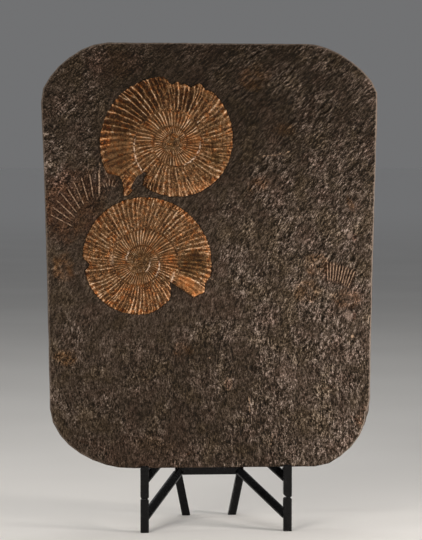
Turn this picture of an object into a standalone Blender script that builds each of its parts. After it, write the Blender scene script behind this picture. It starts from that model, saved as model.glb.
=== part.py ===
"""Ammonite cluster plate: a shale slab with two ribbed ammonites, standing on a welded steel easel.

Metres, +Z up. The slab faces -Y and leans back. The origin is the middle of the footprint, on the
surface that the easel stands on. "Left" is the viewer's left, -X.
"""

import math
from dataclasses import dataclass

import bmesh
import bpy
from mathutils import Matrix, Vector, noise
from mathutils.geometry import delaunay_2d_cdt, interpolate_bezier

MM = 0.001
SEAT_GAP = 0.3 * MM  # clearance between pieces that touch

# ---------------------------------------------------------------- the slab's driving dimensions
LEAN = math.radians(6.0)  # the slab leans back
SLAB_FOOT = 46.0 * MM  # height of the slab's lower front edge
SLAB_THICKNESS = 12.0 * MM
EDGE_BEVEL = 1.4 * MM
EDGE_STEP = 10.0 * MM  # spacing of the points round the outline
EDGE_WOBBLE = 0.5 * MM
WOBBLE_SIZE = 17.0 * MM
FOOT_FADE = 8.0 * MM  # the wobble grows from the straight foot up to here
SPLIT_EDGE = 0.9 * MM  # how far the broken middle of the side steps in
SPLIT_SIZE = 13.0 * MM
HALF_WIDTH = 120.0 * MM
HALF_HEIGHT = 150.0 * MM
FRONT_GRID = 8.4 * MM
BACK_GRID = 17.0 * MM
GRID_MARGIN = 3.4 * MM  # loose points keep this far from every edge and rib line
GRID_JITTER = 0.28
RELIEF_FADE = 12.0 * MM  # the surface calms down towards the outline
ROUGH_FROM = -20.0 * MM  # the shale grows rough from here to the right
ROUGH_SPAN = 80.0 * MM
CALM_RADIUS = 48.0 * MM  # the shale is calm this far round a shell
CALM_FADE = 26.0 * MM
STREAK_LENGTH = 34.0 * MM
STREAK_WIDTH = 15.0 * MM
STREAK_RISE = 1.1 * MM
LUMP_SIZE = 22.0 * MM
LUMP_RISE = 0.7 * MM
BACK_LEDGE = 1.4 * MM
BACK_LEDGE_WIDTH = 60.0 * MM
BACK_LEDGE_HEIGHT = 45.0 * MM

# Corner curves, counter-clockwise from the lower right, in mm from the middle of the slab's foot:
# where the curve starts, where it ends, the sharp corner it rounds, and its pull towards that corner.
CORNERS = (
    ((75.0, 0.0), (115.5, 45.0), (115.5, 0.0), 0.46),
    ((123.7, 268.0), (73.0, 306.2), (124.0, 306.2), 0.39),
    ((-73.5, 306.8), (-120.8, 266.0), (-121.0, 307.0), 0.41),
    ((-115.1, 43.0), (-58.0, 0.0), (-115.0, 0.0), 0.50),
)
# Points that each corner curve is followed by, before the next corner starts.
SIDE_POINTS = (
    ((116.6, 90.0), (120.2, 188.0)),
    (),
    ((-118.4, 200.0), (-116.7, 128.0)),
    (),
)

# ---------------------------------------------------------------- the ammonites
POCKET_DEPTH = 2.0 * MM  # how deep each shell is set into the shale
EDGE_ANGLE_STEP = 45.0  # degrees between the radii in Ammonite.edge

# Rows across the coil: whorl number, place between its seam (0) and its outer edge (1),
# height above the slab in mm, and how far a rib stands above the groove beside it in mm.
RELIEF_ROWS = (
    (0, 0.74, 2.9, 1.0),
    (0, 0.36, 3.4, 1.0),
    (0, 0.00, 1.5, 0.3),
    (1, 0.50, 2.6, 0.7),
    (1, 0.00, 1.2, 0.2),
    (2, 0.50, 1.8, 0.4),
    (2, 0.00, 0.9, 0.0),
    (3, 0.45, 1.0, 0.0),
)
SHELL_EDGE_HEIGHT = 0.5 * MM
CORE_HEIGHT = 0.6 * MM
COLUMN_STEP = (1, 1, 2, 4)  # columns skipped on whorl 0, 1, 2 and 3


@dataclass
class Ammonite:
    """A coiled shell seen from its side. Angles are in degrees, counter-clockwise from +X."""

    name: str
    centre: tuple  # mm from the middle of the slab's foot
    end_angle: float  # where the outer whorl ends
    growth: int  # +1 coils out counter-clockwise, -1 clockwise
    edge: tuple  # outer radius in mm every EDGE_ANGLE_STEP, from the end back through one turn
    seam: float  # radius in mm of the outer whorl's inner seam at its end
    seam_ratio: float  # what the seam's radius is multiplied by in each turn inwards
    ribs: int  # in a full turn
    bites: tuple  # chips out of the edge: degrees back from the end, half width in degrees, depth in mm


UPPER = Ammonite(
    name="upper_ammonite",
    centre=(-26.0, 233.5),
    end_angle=229.0,
    growth=1,
    edge=(52.3, 52.6, 51.6, 48.7, 46.9, 43.5, 41.3, 38.7, 37.2),
    seam=30.3,
    seam_ratio=0.508,
    ribs=62,
    bites=(
        (0.0, 2.0, 2.0),
        (8.5, 8.0, 4.8),
        (16.5, 9.0, 7.2),
        (138.5, 8.0, 6.2),
        (148.0, 8.0, 5.0),
        (156.5, 7.5, 5.2),
        (171.0, 6.0, 1.6),
        (360.0, 6.0, 7.0),
    ),
)
LOWER = Ammonite(
    name="lower_ammonite",
    centre=(-50.1, 147.6),
    end_angle=327.0,
    growth=-1,
    edge=(52.2, 51.2, 48.6, 45.9, 42.9, 40.1, 38.5, 37.3, 31.5),
    seam=29.3,
    seam_ratio=0.495,
    ribs=68,
    bites=((0.0, 10.0, 5.5), (14.0, 9.0, 2.5), (215.5, 8.5, 4.3), (360.0, 20.0, 5.7)),
)
AMMONITES = (UPPER, LOWER)


@dataclass
class Imprint:
    """A fan of ribs left in the shale. Sizes in mm, angles in degrees."""

    centre: tuple
    first_angle: float
    angle_step: float
    inner: tuple  # radius of the first and the last rib's inner end
    outer: tuple  # radius of the first and the last rib's outer end
    count: int
    rise: float  # height of a rib's crest
    sink: float  # depth of the groove between ribs


IMPRINTS = (
    Imprint((-78.7, 163.0), 91.0, 7.6, (32.0, 22.5), (51.0, 41.0), 9, 0.9, 0.5),
    Imprint((85.4, 93.9), 90.0, -2.54, (40.3, 38.8), (51.0, 49.3), 10, 0.8, 0.3),
)

# ---------------------------------------------------------------- the easel
BAR = 6.0 * MM  # square steel bar
BAR_CORNER = 1.0 * MM
STAND_X = 3.6 * MM  # the easel's middle, from the slab's
POST_X = 51.3 * MM  # each front post, from the easel's middle
POST_Y = -1.0 * MM
FOOT_TOP = 24.0 * MM
# The corners cut off a post's end, left and right: width and height.
FOOT_CUTS = ((1.0 * MM, 0.9 * MM), (1.0 * MM, 0.9 * MM))
LEFT_HOOK_CUTS = ((1.2 * MM, 1.2 * MM), (1.2 * MM, 1.2 * MM))
RIGHT_HOOK_CUTS = ((2.6 * MM, 2.3 * MM), (1.7 * MM, 1.1 * MM))
HOOK_LIP = 1.8 * MM  # height of the lip in front of the slab
HOOK_LIP_GAP = 1.3 * MM
HOOK_BEVEL = 0.5 * MM
LEDGE_REACH = 6.5 * MM
LEDGE_THICKNESS = 2.5 * MM
LOWER_BRACE_Z = 10.0 * MM
LOWER_BRACE_DROP = 1.2 * MM  # its rear end meets the beam this far below the beam's middle
UPPER_BRACE_Z = 36.8 * MM
UPPER_BRACE_TOP = 62.0 * MM
BEAM_Y = 72.0 * MM
BEAM_Z = 33.8 * MM
BEAM_HALF = 25.6 * MM
BEAM_JOINT_X = 23.5 * MM  # where the lower braces meet the beam
REAR_LEG_TOP_X = 23.3 * MM
REAR_FOOT_X = 17.2 * MM
REAR_FOOT_Y = 74.0 * MM
REST_UP = 148.0 * MM  # the rest bar, measured up the slab's back
REST_HALF = 20.0 * MM
UPRIGHT_TOP_X = 12.0 * MM
UPRIGHT_SET_BACK = 0.5 * MM

MATERIALS = {
    "shale": ((0.060, 0.050, 0.042), 0.80, 0.0),
    "shell": ((0.280, 0.150, 0.065), 0.62, 0.0),
    "steel": ((0.012, 0.012, 0.013), 0.32, 0.6),
}


# ---------------------------------------------------------------- small helpers
def polar(centre, angle, radius):
    """A point at a radius and an angle in degrees from a centre."""
    turn = math.radians(angle)
    return (centre[0] + radius * math.cos(turn), centre[1] + radius * math.sin(turn))


def smooth_step(value):
    """0 below 0, 1 above 1, and a smooth rise between."""
    value = min(1.0, max(0.0, value))
    return value * value * (3.0 - 2.0 * value)


def distance(a, b):
    return math.hypot(a[0] - b[0], a[1] - b[1])


def distance_to_loop(point, loop):
    """Shortest distance from a point to a closed line of short segments."""
    best = 1.0e9
    for index, start in enumerate(loop):
        end = loop[(index + 1) % len(loop)]
        along = (end[0] - start[0], end[1] - start[1])
        length = along[0] ** 2 + along[1] ** 2
        place = ((point[0] - start[0]) * along[0] + (point[1] - start[1]) * along[1]) / length
        place = min(1.0, max(0.0, place))
        best = min(best, distance(point, (start[0] + along[0] * place, start[1] + along[1] * place)))
    return best


def is_inside(point, loop):
    """Whether a point lies inside a closed loop."""
    inside = False
    for index, start in enumerate(loop):
        end = loop[(index + 1) % len(loop)]
        if (start[1] > point[1]) != (end[1] > point[1]):
            crossing = start[0] + (point[1] - start[1]) * (end[0] - start[0]) / (end[1] - start[1])
            if point[0] < crossing:
                inside = not inside
    return inside


def offset_loop(loop, amount):
    """Moves a counter-clockwise loop outwards by an amount, with mitred corners."""
    moved = []
    for index, point in enumerate(loop):
        before = Vector(point) - Vector(loop[index - 1])
        after = Vector(loop[(index + 1) % len(loop)]) - Vector(point)
        normal_before = Vector((before.y, -before.x)).normalized()
        normal_after = Vector((after.y, -after.x)).normalized()
        mitre = (normal_before + normal_after).normalized()
        reach = amount / max(0.5, mitre.dot(normal_before))
        moved.append((point[0] + mitre.x * reach, point[1] + mitre.y * reach))
    return moved


def resample(path, spacing):
    """Points at even distances along a closed path."""
    closed = list(path) + [path[0]]
    lengths = [distance(a, b) for a, b in zip(closed, closed[1:])]
    count = round(sum(lengths) / spacing)
    step = sum(lengths) / count
    points = []
    travelled = 0.0
    wanted = 0.0
    for start, end, length in zip(closed, closed[1:], lengths):
        while wanted < travelled + length - 1.0e-9 and len(points) < count:
            place = (wanted - travelled) / length
            points.append((start[0] + (end[0] - start[0]) * place, start[1] + (end[1] - start[1]) * place))
            wanted += step
        travelled += length
    return points


# ---------------------------------------------------------------- building meshes
def make_material(name):
    """A Principled material from the MATERIALS table."""
    colour, roughness, metallic = MATERIALS[name]
    material = bpy.data.materials.new(name)
    material.use_nodes = True
    shader = material.node_tree.nodes["Principled BSDF"]
    shader.inputs["Base Color"].default_value = (*colour, 1.0)
    shader.inputs["Roughness"].default_value = roughness
    shader.inputs["Metallic"].default_value = metallic
    material.diffuse_color = (*colour, 1.0)
    return material


def make_object(name, bm, material, parent):
    """Turns a bmesh into an object with outward faces, under a parent."""
    bmesh.ops.recalc_face_normals(bm, faces=bm.faces)
    mesh = bpy.data.meshes.new(name)
    bm.to_mesh(mesh)
    bm.free()
    mesh.materials.append(material)
    piece = bpy.data.objects.new(name, mesh)
    bpy.context.collection.objects.link(piece)
    piece.parent = parent
    return piece


def make_empty(name, location, parent=None):
    """An empty that carries other objects."""
    empty = bpy.data.objects.new(name, None)
    bpy.context.collection.objects.link(empty)
    empty.location = location
    empty.parent = parent
    return empty


def triangulate(loops, loose, lines):
    """Triangles inside the first loop. Returns the flat points, with their source index, and the faces.

    loops and lines hold points as (x, y, height), and so does loose. The heights come back with the
    points, because the triangulation is flat.
    """
    points = []
    edges = []
    for loop in loops:
        first = len(points)
        points.extend(loop)
        for index in range(len(loop)):
            edges.append((first + index, first + (index + 1) % len(loop)))
    for line in lines:
        first = len(points)
        points.extend(line)
        for index in range(len(line) - 1):
            edges.append((first + index, first + index + 1))
    points.extend(loose)
    flat = [Vector((x, y)) for x, y, _ in points]
    outline = [list(range(len(loops[0])))]
    verts, _, faces, sources, _, _ = delaunay_2d_cdt(flat, edges, outline, 1, 1.0e-7)
    solved = [(place.x, place.y, points[source[0]][2]) for place, source in zip(verts, sources)]
    return solved, faces


def add_sheet(bm, solved, faces, depth_of, keep=None):
    """Adds a triangulated sheet. Returns its vertices by flat place, for stitching walls to it."""
    verts = {}
    for face in faces:
        middle = (
            sum(solved[index][0] for index in face) / len(face),
            sum(solved[index][1] for index in face) / len(face),
        )
        if keep and not keep(middle):
            continue
        corners = []
        for index in face:
            x, y, height = solved[index]
            key = place_key((x, y))
            if key not in verts:
                verts[key] = bm.verts.new((x, depth_of(height), y))
            corners.append(verts[key])
        bm.faces.new(corners)
    return verts


def place_key(point):
    """A flat place rounded to a hundredth of a millimetre, to find its vertex again."""
    return (round(point[0] / MM, 2), round(point[1] / MM, 2))


def add_wall(bm, first, second):
    """Quads between two loops of vertices of the same length."""
    for index in range(len(first)):
        after = (index + 1) % len(first)
        bm.faces.new((first[index], first[after], second[after], second[index]))


def ring_of(bm, loop, depth):
    """A new loop of vertices at a depth behind the slab's face."""
    return [bm.verts.new((x, depth, y)) for x, y in loop]


# ---------------------------------------------------------------- the slab
def slab_outline():
    """The slab's outline, counter-clockwise, with a slight natural wobble."""
    path = []
    for (start, end, corner, pull), side in zip(CORNERS, SIDE_POINTS):
        knots = [Vector((*start, 0.0)), Vector((*end, 0.0))]
        sharp = Vector((*corner, 0.0))
        handles = [knot.lerp(sharp, pull) for knot in knots]
        curve = interpolate_bezier(knots[0], handles[0], handles[1], knots[1], 12)
        path.extend((point.x * MM, point.y * MM) for point in curve)
        path.extend((x * MM, y * MM) for x, y in side)
    outline = resample(path, EDGE_STEP)
    return [wobbled(point) for point in outline]


def wobbled(point):
    """Moves a point of the outline sideways a little. The straight foot stays straight."""
    x, y = point
    amount = EDGE_WOBBLE * smooth_step(y / FOOT_FADE)
    shift = noise.noise(Vector((x, y, 0.0)) / WOBBLE_SIZE)
    lift = noise.noise(Vector((x, y, 0.5)) / WOBBLE_SIZE)
    return (x - math.copysign(amount * abs(shift), x), y - amount * abs(lift))


def shale_relief(x, y):
    """Height of the split shale surface: rough and streaked on the right, calm round the shells."""
    roughness = 0.35 + 0.65 * smooth_step((x - ROUGH_FROM) / ROUGH_SPAN)
    for shell in AMMONITES:
        centre = (shell.centre[0] * MM, shell.centre[1] * MM)
        roughness *= smooth_step((distance((x, y), centre) - CALM_RADIUS) / CALM_FADE)
    # Streaks run up to the right at 60 degrees: the noise is stretched along them.
    along = x * 0.5 + y * 0.866
    across = x * 0.866 - y * 0.5
    streaks = noise.noise(Vector((along / STREAK_LENGTH, across / STREAK_WIDTH, 3.7)))
    lumps = noise.noise(Vector((x / LUMP_SIZE, y / LUMP_SIZE, 9.1)))
    return (STREAK_RISE * streaks + LUMP_RISE * lumps) * roughness


def imprint_lines(imprint):
    """Crest and groove lines of a fan of ribs, as points with heights."""
    centre = (imprint.centre[0] * MM, imprint.centre[1] * MM)
    crests = []
    grooves = []
    for index in range(imprint.count):
        share = index / (imprint.count - 1)
        angle = imprint.first_angle + imprint.angle_step * index
        inner = (imprint.inner[0] + (imprint.inner[1] - imprint.inner[0]) * share) * MM
        outer = (imprint.outer[0] + (imprint.outer[1] - imprint.outer[0]) * share) * MM
        middle = (inner + outer) / 2
        crests.append(
            [
                (*polar(centre, angle, inner), 0.3 * imprint.rise * MM),
                (*polar(centre, angle, middle), imprint.rise * MM),
                (*polar(centre, angle, outer), 0.3 * imprint.rise * MM),
            ]
        )
        if index < imprint.count - 1:
            between = angle + imprint.angle_step / 2
            grooves.append(
                [
                    (*polar(centre, between, inner), 0.0),
                    (*polar(centre, between, middle), -imprint.sink * MM),
                    (*polar(centre, between, outer), 0.0),
                ]
            )
    return crests + grooves


def grid_points(outline, spacing, holes, lines):
    """Points of a jittered triangular grid inside the outline, clear of holes and lines."""
    low_x = min(x for x, _ in outline)
    high_x = max(x for x, _ in outline)
    high_y = max(y for _, y in outline)
    line_points = [point for line in lines for point in line]
    points = []
    row_height = spacing * math.sqrt(0.75)
    for row in range(int(high_y / row_height) + 1):
        for column in range(int((high_x - low_x) / spacing) + 2):
            x = low_x + spacing * (column + 0.5 * (row % 2))
            y = row_height * row
            x += GRID_JITTER * spacing * noise.noise(Vector((row * 0.71, column * 0.93, 0.2)))
            y += GRID_JITTER * spacing * noise.noise(Vector((row * 0.83, column * 0.67, 5.2)))
            if not is_inside((x, y), outline) or distance_to_loop((x, y), outline) < GRID_MARGIN:
                continue
            if any(is_inside((x, y), hole) or distance_to_loop((x, y), hole) < GRID_MARGIN for hole in holes):
                continue
            if any(distance((x, y), point) < GRID_MARGIN for point in line_points):
                continue
            points.append((x, y))
    return points


def build_slab(material, parent):
    """The shale slab, with a pocket for each shell, fans of imprinted ribs and split edges."""
    outline = slab_outline()
    rim = offset_loop(outline, -EDGE_BEVEL)
    pockets = [offset_loop(shell_outline(shell), SEAT_GAP) for shell in AMMONITES]
    ribs = [line for imprint in IMPRINTS for line in imprint_lines(imprint)]

    def surface(point):
        calm = smooth_step(distance_to_loop(point, rim) / RELIEF_FADE)
        return (*point, shale_relief(*point) * calm)

    bm = bmesh.new()
    loops = [[(*point, 0.0) for point in loop] for loop in [rim] + pockets]
    loose = [surface(point) for point in grid_points(rim, FRONT_GRID, pockets, ribs)]
    solved, faces = triangulate(loops, loose, ribs)

    def is_on_face(middle):
        return not any(is_inside(middle, pocket) for pocket in pockets)

    front = add_sheet(bm, solved, faces, lambda height: -height, is_on_face)
    for pocket in pockets:
        top = [front[place_key(point)] for point in pocket]
        floor = ring_of(bm, pocket, POCKET_DEPTH)
        add_wall(bm, top, floor)
        bm.faces.new(floor)

    back_grid = [(x, y, back_relief(x, y)) for x, y in grid_points(rim, BACK_GRID, (), ())]
    solved, faces = triangulate([[(*point, 0.0) for point in rim]], back_grid, ())
    back = add_sheet(bm, solved, faces, lambda height: SLAB_THICKNESS - height)

    rings = [
        [front[place_key(point)] for point in rim],
        ring_of(bm, outline, EDGE_BEVEL),
        ring_of(bm, split_edge(outline), SLAB_THICKNESS / 2),
        ring_of(bm, outline, SLAB_THICKNESS - EDGE_BEVEL),
        [back[place_key(point)] for point in rim],
    ]
    for first, second in zip(rings, rings[1:]):
        add_wall(bm, first, second)
    return make_object("matrix_slab", bm, material, parent)


def split_edge(outline):
    """The middle of the side, set in by an uneven amount where layers have broken away."""
    ring = []
    for x, y in outline:
        inset = SPLIT_EDGE * abs(noise.noise(Vector((x, y, 2.0)) / SPLIT_SIZE))
        lift = math.copysign(inset, HALF_HEIGHT - y) * smooth_step(y / FOOT_FADE)
        ring.append((x * (1.0 - inset / HALF_WIDTH), y + lift))
    return ring


def back_relief(x, y):
    """How far the back face is set in: broad flat ledges of broken layers, none proud of the back."""
    value = noise.noise(Vector((x / BACK_LEDGE_WIDTH, y / BACK_LEDGE_HEIGHT, 7.0)))
    ledge = math.floor((value + 1.0) * 2.5) / 4.0
    return BACK_LEDGE * min(1.0, max(0.0, ledge))


# ---------------------------------------------------------------- the ammonites
def edge_radius(shell, theta):
    """Outer radius of the shell, theta degrees back from its end, with the chips taken out."""
    place = theta / EDGE_ANGLE_STEP
    index = min(int(place), len(shell.edge) - 2)
    share = place - index
    radius = shell.edge[index] * (1.0 - share) + shell.edge[index + 1] * share
    for middle, half_width, depth in shell.bites:
        radius -= depth * smooth_step(1.0 - abs(theta - middle) / half_width)
    return radius * MM


def seam_radius(shell, theta):
    """Radius of the seam that winds in from the outer whorl's end."""
    return shell.seam * MM * shell.seam_ratio ** (theta / 360.0)


def shell_centre(shell):
    return (shell.centre[0] * MM, shell.centre[1] * MM)


def columns_of(shell):
    return 2 * shell.ribs


def column_angle(shell, column):
    """Angle of a column, and how far back from the end it is, both in degrees."""
    theta = 360.0 * column / columns_of(shell)
    return shell.end_angle - shell.growth * theta, theta


def shell_outline(shell):
    """The shell's outline, counter-clockwise."""
    points = []
    for column in range(columns_of(shell)):
        angle, theta = column_angle(shell, column)
        points.append(polar(shell_centre(shell), angle, edge_radius(shell, theta)))
    return points if shell.growth < 0 else points[::-1]


def whorl_radius(shell, whorl, theta, place):
    """Radius between a whorl's seam (place 0) and the next boundary outwards (place 1)."""
    inner = seam_radius(shell, theta + 360.0 * whorl)
    if whorl:
        outer = seam_radius(shell, theta + 360.0 * (whorl - 1))
    else:
        outer = edge_radius(shell, theta)
    return inner + (outer - inner) * place


def shell_columns(shell):
    """Lines of points with heights, one along each rib and each groove of the two outer whorls,
    and loose points for the fine inner whorls."""
    lines = []
    loose = []
    for column in range(columns_of(shell)):
        angle, theta = column_angle(shell, column)
        rib_side = 0.5 if column % 2 == 0 else -0.5
        line = []
        for whorl, place, height, rib in RELIEF_ROWS:
            if column % COLUMN_STEP[whorl]:
                continue
            point = polar(shell_centre(shell), angle, whorl_radius(shell, whorl, theta, place))
            top = (height + rib * rib_side) * MM
            if whorl < 2:
                line.append((*point, top))
            else:
                loose.append((*point, top))
        lines.append(line)
    loose.append((*shell_centre(shell), CORE_HEIGHT))
    return lines, loose


def build_ammonite(shell, material, parent):
    """A shell as one solid: ribbed whorls above the slab and a flat back in its pocket."""
    outline = shell_outline(shell)
    lines, loose = shell_columns(shell)
    bm = bmesh.new()
    solved, faces = triangulate([[(*point, SHELL_EDGE_HEIGHT) for point in outline]], loose, lines)
    top = add_sheet(bm, solved, faces, lambda height: -height)
    rim = [top[place_key(point)] for point in outline]
    back = ring_of(bm, outline, POCKET_DEPTH - SEAT_GAP)
    add_wall(bm, rim, back)
    bm.faces.new(back)
    return make_object(shell.name, bm, material, parent)


# ---------------------------------------------------------------- the easel
def on_slab(behind, up):
    """(y, z) of a place given by its depth behind the slab's face and its height up the slab."""
    y = behind * math.cos(LEAN) + up * math.sin(LEAN)
    z = SLAB_FOOT - behind * math.sin(LEAN) + up * math.cos(LEAN)
    return y, z


def section_axes(direction, front):
    """Two axes across a bar, the first as near to the front direction as it can be."""
    first = (front - direction * front.dot(direction)).normalized()
    return first, direction.cross(first)


def bar_section():
    """The square bar's section with small flats on its corners."""
    half = BAR / 2
    flat = half - BAR_CORNER
    right = ((half, -flat), (half, flat), (flat, half), (-flat, half))
    left = ((-half, flat), (-half, -flat), (-flat, -half), (flat, -half))
    return right + left


def cut_away(bm, place, outward):
    """Cuts a closed body with a plane and takes away what lies outward of it."""
    everything = bm.verts[:] + bm.edges[:] + bm.faces[:]
    bmesh.ops.bisect_plane(bm, geom=everything, plane_co=place, plane_no=outward, clear_outer=True)
    bmesh.ops.holes_fill(bm, edges=[edge for edge in bm.edges if edge.is_boundary], sides=0)


def cut_corners(bm, middle_x, z, inward, cuts):
    """Cuts the left and right corners off a post's end; inward is +1 if the post is above z, else -1."""
    for side, (width, height) in zip((-1, 1), cuts):
        place = Vector((middle_x + side * (BAR / 2 - width), 0.0, z))
        cut_away(bm, place, Vector((side * height, 0.0, -inward * width)))


def bar_body(start, end, start_normal, end_normal, front):
    """A bar's closed body between two points, each end cut by the plane through its point."""
    direction = (end - start).normalized()
    first, second = section_axes(direction, front)
    bm = bmesh.new()
    rings = []
    for point, normal in ((start, start_normal), (end, end_normal)):
        ring = []
        for a, b in bar_section():
            corner = first * a + second * b
            slide = -corner.dot(normal) / direction.dot(normal)
            ring.append(bm.verts.new(point + corner + direction * slide))
        rings.append(ring)
    add_wall(bm, rings[0], rings[1])
    for ring in rings:
        bm.faces.new(ring)
    return bm


def build_bar(name, start, end, start_normal, end_normal, material, parent, front=Vector((0.0, -1.0, 0.0))):
    """A straight bar of the easel."""
    bm = bar_body(start, end, start_normal, end_normal, front)
    return make_object(name, bm, material, parent)


def build_foot(name, post_x, material, parent):
    """A post's lower part, with the corners of its upper end cut off."""
    level = Vector((0.0, 0.0, 1.0))
    place = Vector((post_x, POST_Y, 0.0))
    bm = bar_body(place, place + level * FOOT_TOP, level, level, Vector((0.0, -1.0, 0.0)))
    cut_corners(bm, post_x, FOOT_TOP, -1, FOOT_CUTS)
    return make_object(name, bm, material, parent)


def build_brace(name, start, end, end_normal, material, parent):
    """A bar back from a post, cut level with the post's outer side."""
    front = Vector((0.0, -1.0, 0.0))
    outward = Vector((math.copysign(1.0, start.x - STAND_X), 0.0, 0.0))
    bm = bar_body(start, end, front, end_normal, front)
    cut_away(bm, start + outward * (BAR / 2 - SEAT_GAP), outward)
    return make_object(name, bm, material, parent)


def build_hook(name, post_x, cuts, material, parent):
    """A post's top: cut corners at its lower end, a lip in front of the slab and a ledge under it."""
    front = POST_Y - BAR / 2
    back = POST_Y + BAR / 2
    lip_back = on_slab(-HOOK_LIP_GAP, HOOK_LIP)
    seat_front = on_slab(-HOOK_LIP_GAP, -SEAT_GAP)
    seat_back = on_slab(LEDGE_REACH, -SEAT_GAP)
    ledge_back = on_slab(LEDGE_REACH, -SEAT_GAP - LEDGE_THICKNESS)
    inner_y = (back, ledge_back[1] + (ledge_back[0] - back) * math.tan(LEAN))
    bottom = FOOT_TOP + SEAT_GAP
    outside = ((back, bottom), (front, bottom), (front, lip_back[1]), lip_back)
    profile = outside + (seat_front, seat_back, ledge_back, inner_y)
    bm = bmesh.new()
    rings = []
    for across in (-0.5, 0.5):
        rings.append([bm.verts.new((post_x + across * BAR, y, z)) for y, z in profile])
    add_wall(bm, rings[0], rings[1])
    for ring in rings:
        bm.faces.new(ring)
    bmesh.ops.recalc_face_normals(bm, faces=bm.faces)
    bmesh.ops.bevel(bm, geom=bm.edges[:], offset=HOOK_BEVEL, segments=1, affect="EDGES")
    cut_corners(bm, post_x, bottom, 1, cuts)
    return make_object(name, bm, material, parent)


def build_easel(material, parent):
    """Front posts with hooks, braces back to a rear frame, and uprights to a bar behind the slab."""
    level = Vector((0.0, 0.0, 1.0))
    facing = Vector((0.0, 1.0, 0.0))
    sideways = Vector((1.0, 0.0, 0.0))
    up_slab = Vector((0.0, math.sin(LEAN), math.cos(LEAN)))
    face_slab = Vector((0.0, -math.cos(LEAN), math.sin(LEAN)))
    half = BAR / 2
    beam_left = Vector((STAND_X - BEAM_HALF, BEAM_Y, BEAM_Z))
    beam_right = Vector((STAND_X + BEAM_HALF, BEAM_Y, BEAM_Z))
    build_bar("crossbeam", beam_left, beam_right, sideways, sideways, material, parent)

    rest = Vector((STAND_X, *on_slab(SLAB_THICKNESS + SEAT_GAP + half, REST_UP)))
    reach = sideways * REST_HALF
    build_bar("rest_bar", rest - reach, rest + reach, sideways, sideways, material, parent, face_slab)

    for label, side, hook_cuts in (("left", -1, LEFT_HOOK_CUTS), ("right", 1, RIGHT_HOOK_CUTS)):
        post_x = STAND_X + side * POST_X
        back_face = POST_Y + half + SEAT_GAP
        build_foot(label + "_foot", post_x, material, parent)
        build_hook(label + "_hook", post_x, hook_cuts, material, parent)
        start = Vector((post_x, back_face, LOWER_BRACE_Z))
        joint = Vector((STAND_X + side * BEAM_JOINT_X, BEAM_Y - half - SEAT_GAP, BEAM_Z - LOWER_BRACE_DROP))
        build_brace(label + "_lower_brace", start, joint, facing, material, parent)
        build_bar(
            label + "_rear_leg", Vector((STAND_X + side * REAR_FOOT_X, REAR_FOOT_Y, 0.0)),
            Vector((STAND_X + side * REAR_LEG_TOP_X, BEAM_Y, BEAM_Z - half - SEAT_GAP)),
            level, level, material, parent,
        )
        foot = Vector((STAND_X + side * REAR_LEG_TOP_X, BEAM_Y, BEAM_Z + half + SEAT_GAP))
        top_place = on_slab(
            SLAB_THICKNESS + SEAT_GAP + half + UPRIGHT_SET_BACK, REST_UP - half - SEAT_GAP
        )
        top = Vector((STAND_X + side * UPRIGHT_TOP_X, *top_place))
        build_bar(label + "_upright", foot, top, level, up_slab, material, parent)

        direction = (top - foot).normalized()
        on_front, _ = section_axes(direction, -facing)
        joint = foot + direction * ((UPPER_BRACE_TOP - foot.z) / direction.z) + on_front * (half + SEAT_GAP)
        start = Vector((post_x, back_face, UPPER_BRACE_Z))
        build_brace(label + "_upper_brace", start, joint, on_front, material, parent)


# ---------------------------------------------------------------- the whole object
def centre_on_footprint(root):
    """Slides everything so that the origin is in the middle of the footprint."""
    bpy.context.view_layer.update()
    corners = [
        piece.matrix_world @ vertex.co
        for piece in bpy.data.objects
        if piece.type == "MESH"
        for vertex in piece.data.vertices
    ]
    middle_x = (min(c.x for c in corners) + max(c.x for c in corners)) / 2
    middle_y = (min(c.y for c in corners) + max(c.y for c in corners)) / 2
    root.location = (-middle_x, -middle_y, 0.0)


def main():
    for leftover in list(bpy.data.objects):
        bpy.data.objects.remove(leftover, do_unlink=True)
    shale = make_material("shale")
    shell_stone = make_material("shell")
    steel = make_material("steel")
    root = make_empty("ammonite_plate", (0.0, 0.0, 0.0))
    plate = make_empty("leaning_plate", (0.0, 0.0, SLAB_FOOT), root)
    plate.matrix_local = Matrix.Translation((0.0, 0.0, SLAB_FOOT)) @ Matrix.Rotation(-LEAN, 4, "X")
    build_slab(shale, plate)
    for shell in AMMONITES:
        build_ammonite(shell, shell_stone, plate)
    build_easel(steel, root)
    centre_on_footprint(root)


main()
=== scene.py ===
"""Ammonite cluster plate: its looks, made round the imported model.

Sizes are in mm and angles in degrees. A place on the plate is (u, v): u to the right of its middle
and v up from its foot, and height stands out of its face. Angles there are counter-clockwise from +u.
"""

import math
from dataclasses import dataclass, field

import bmesh
import bpy
import numpy as np
from mathutils import Matrix, Vector, noise
from mathutils.geometry import delaunay_2d_cdt, interpolate_bezier

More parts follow.
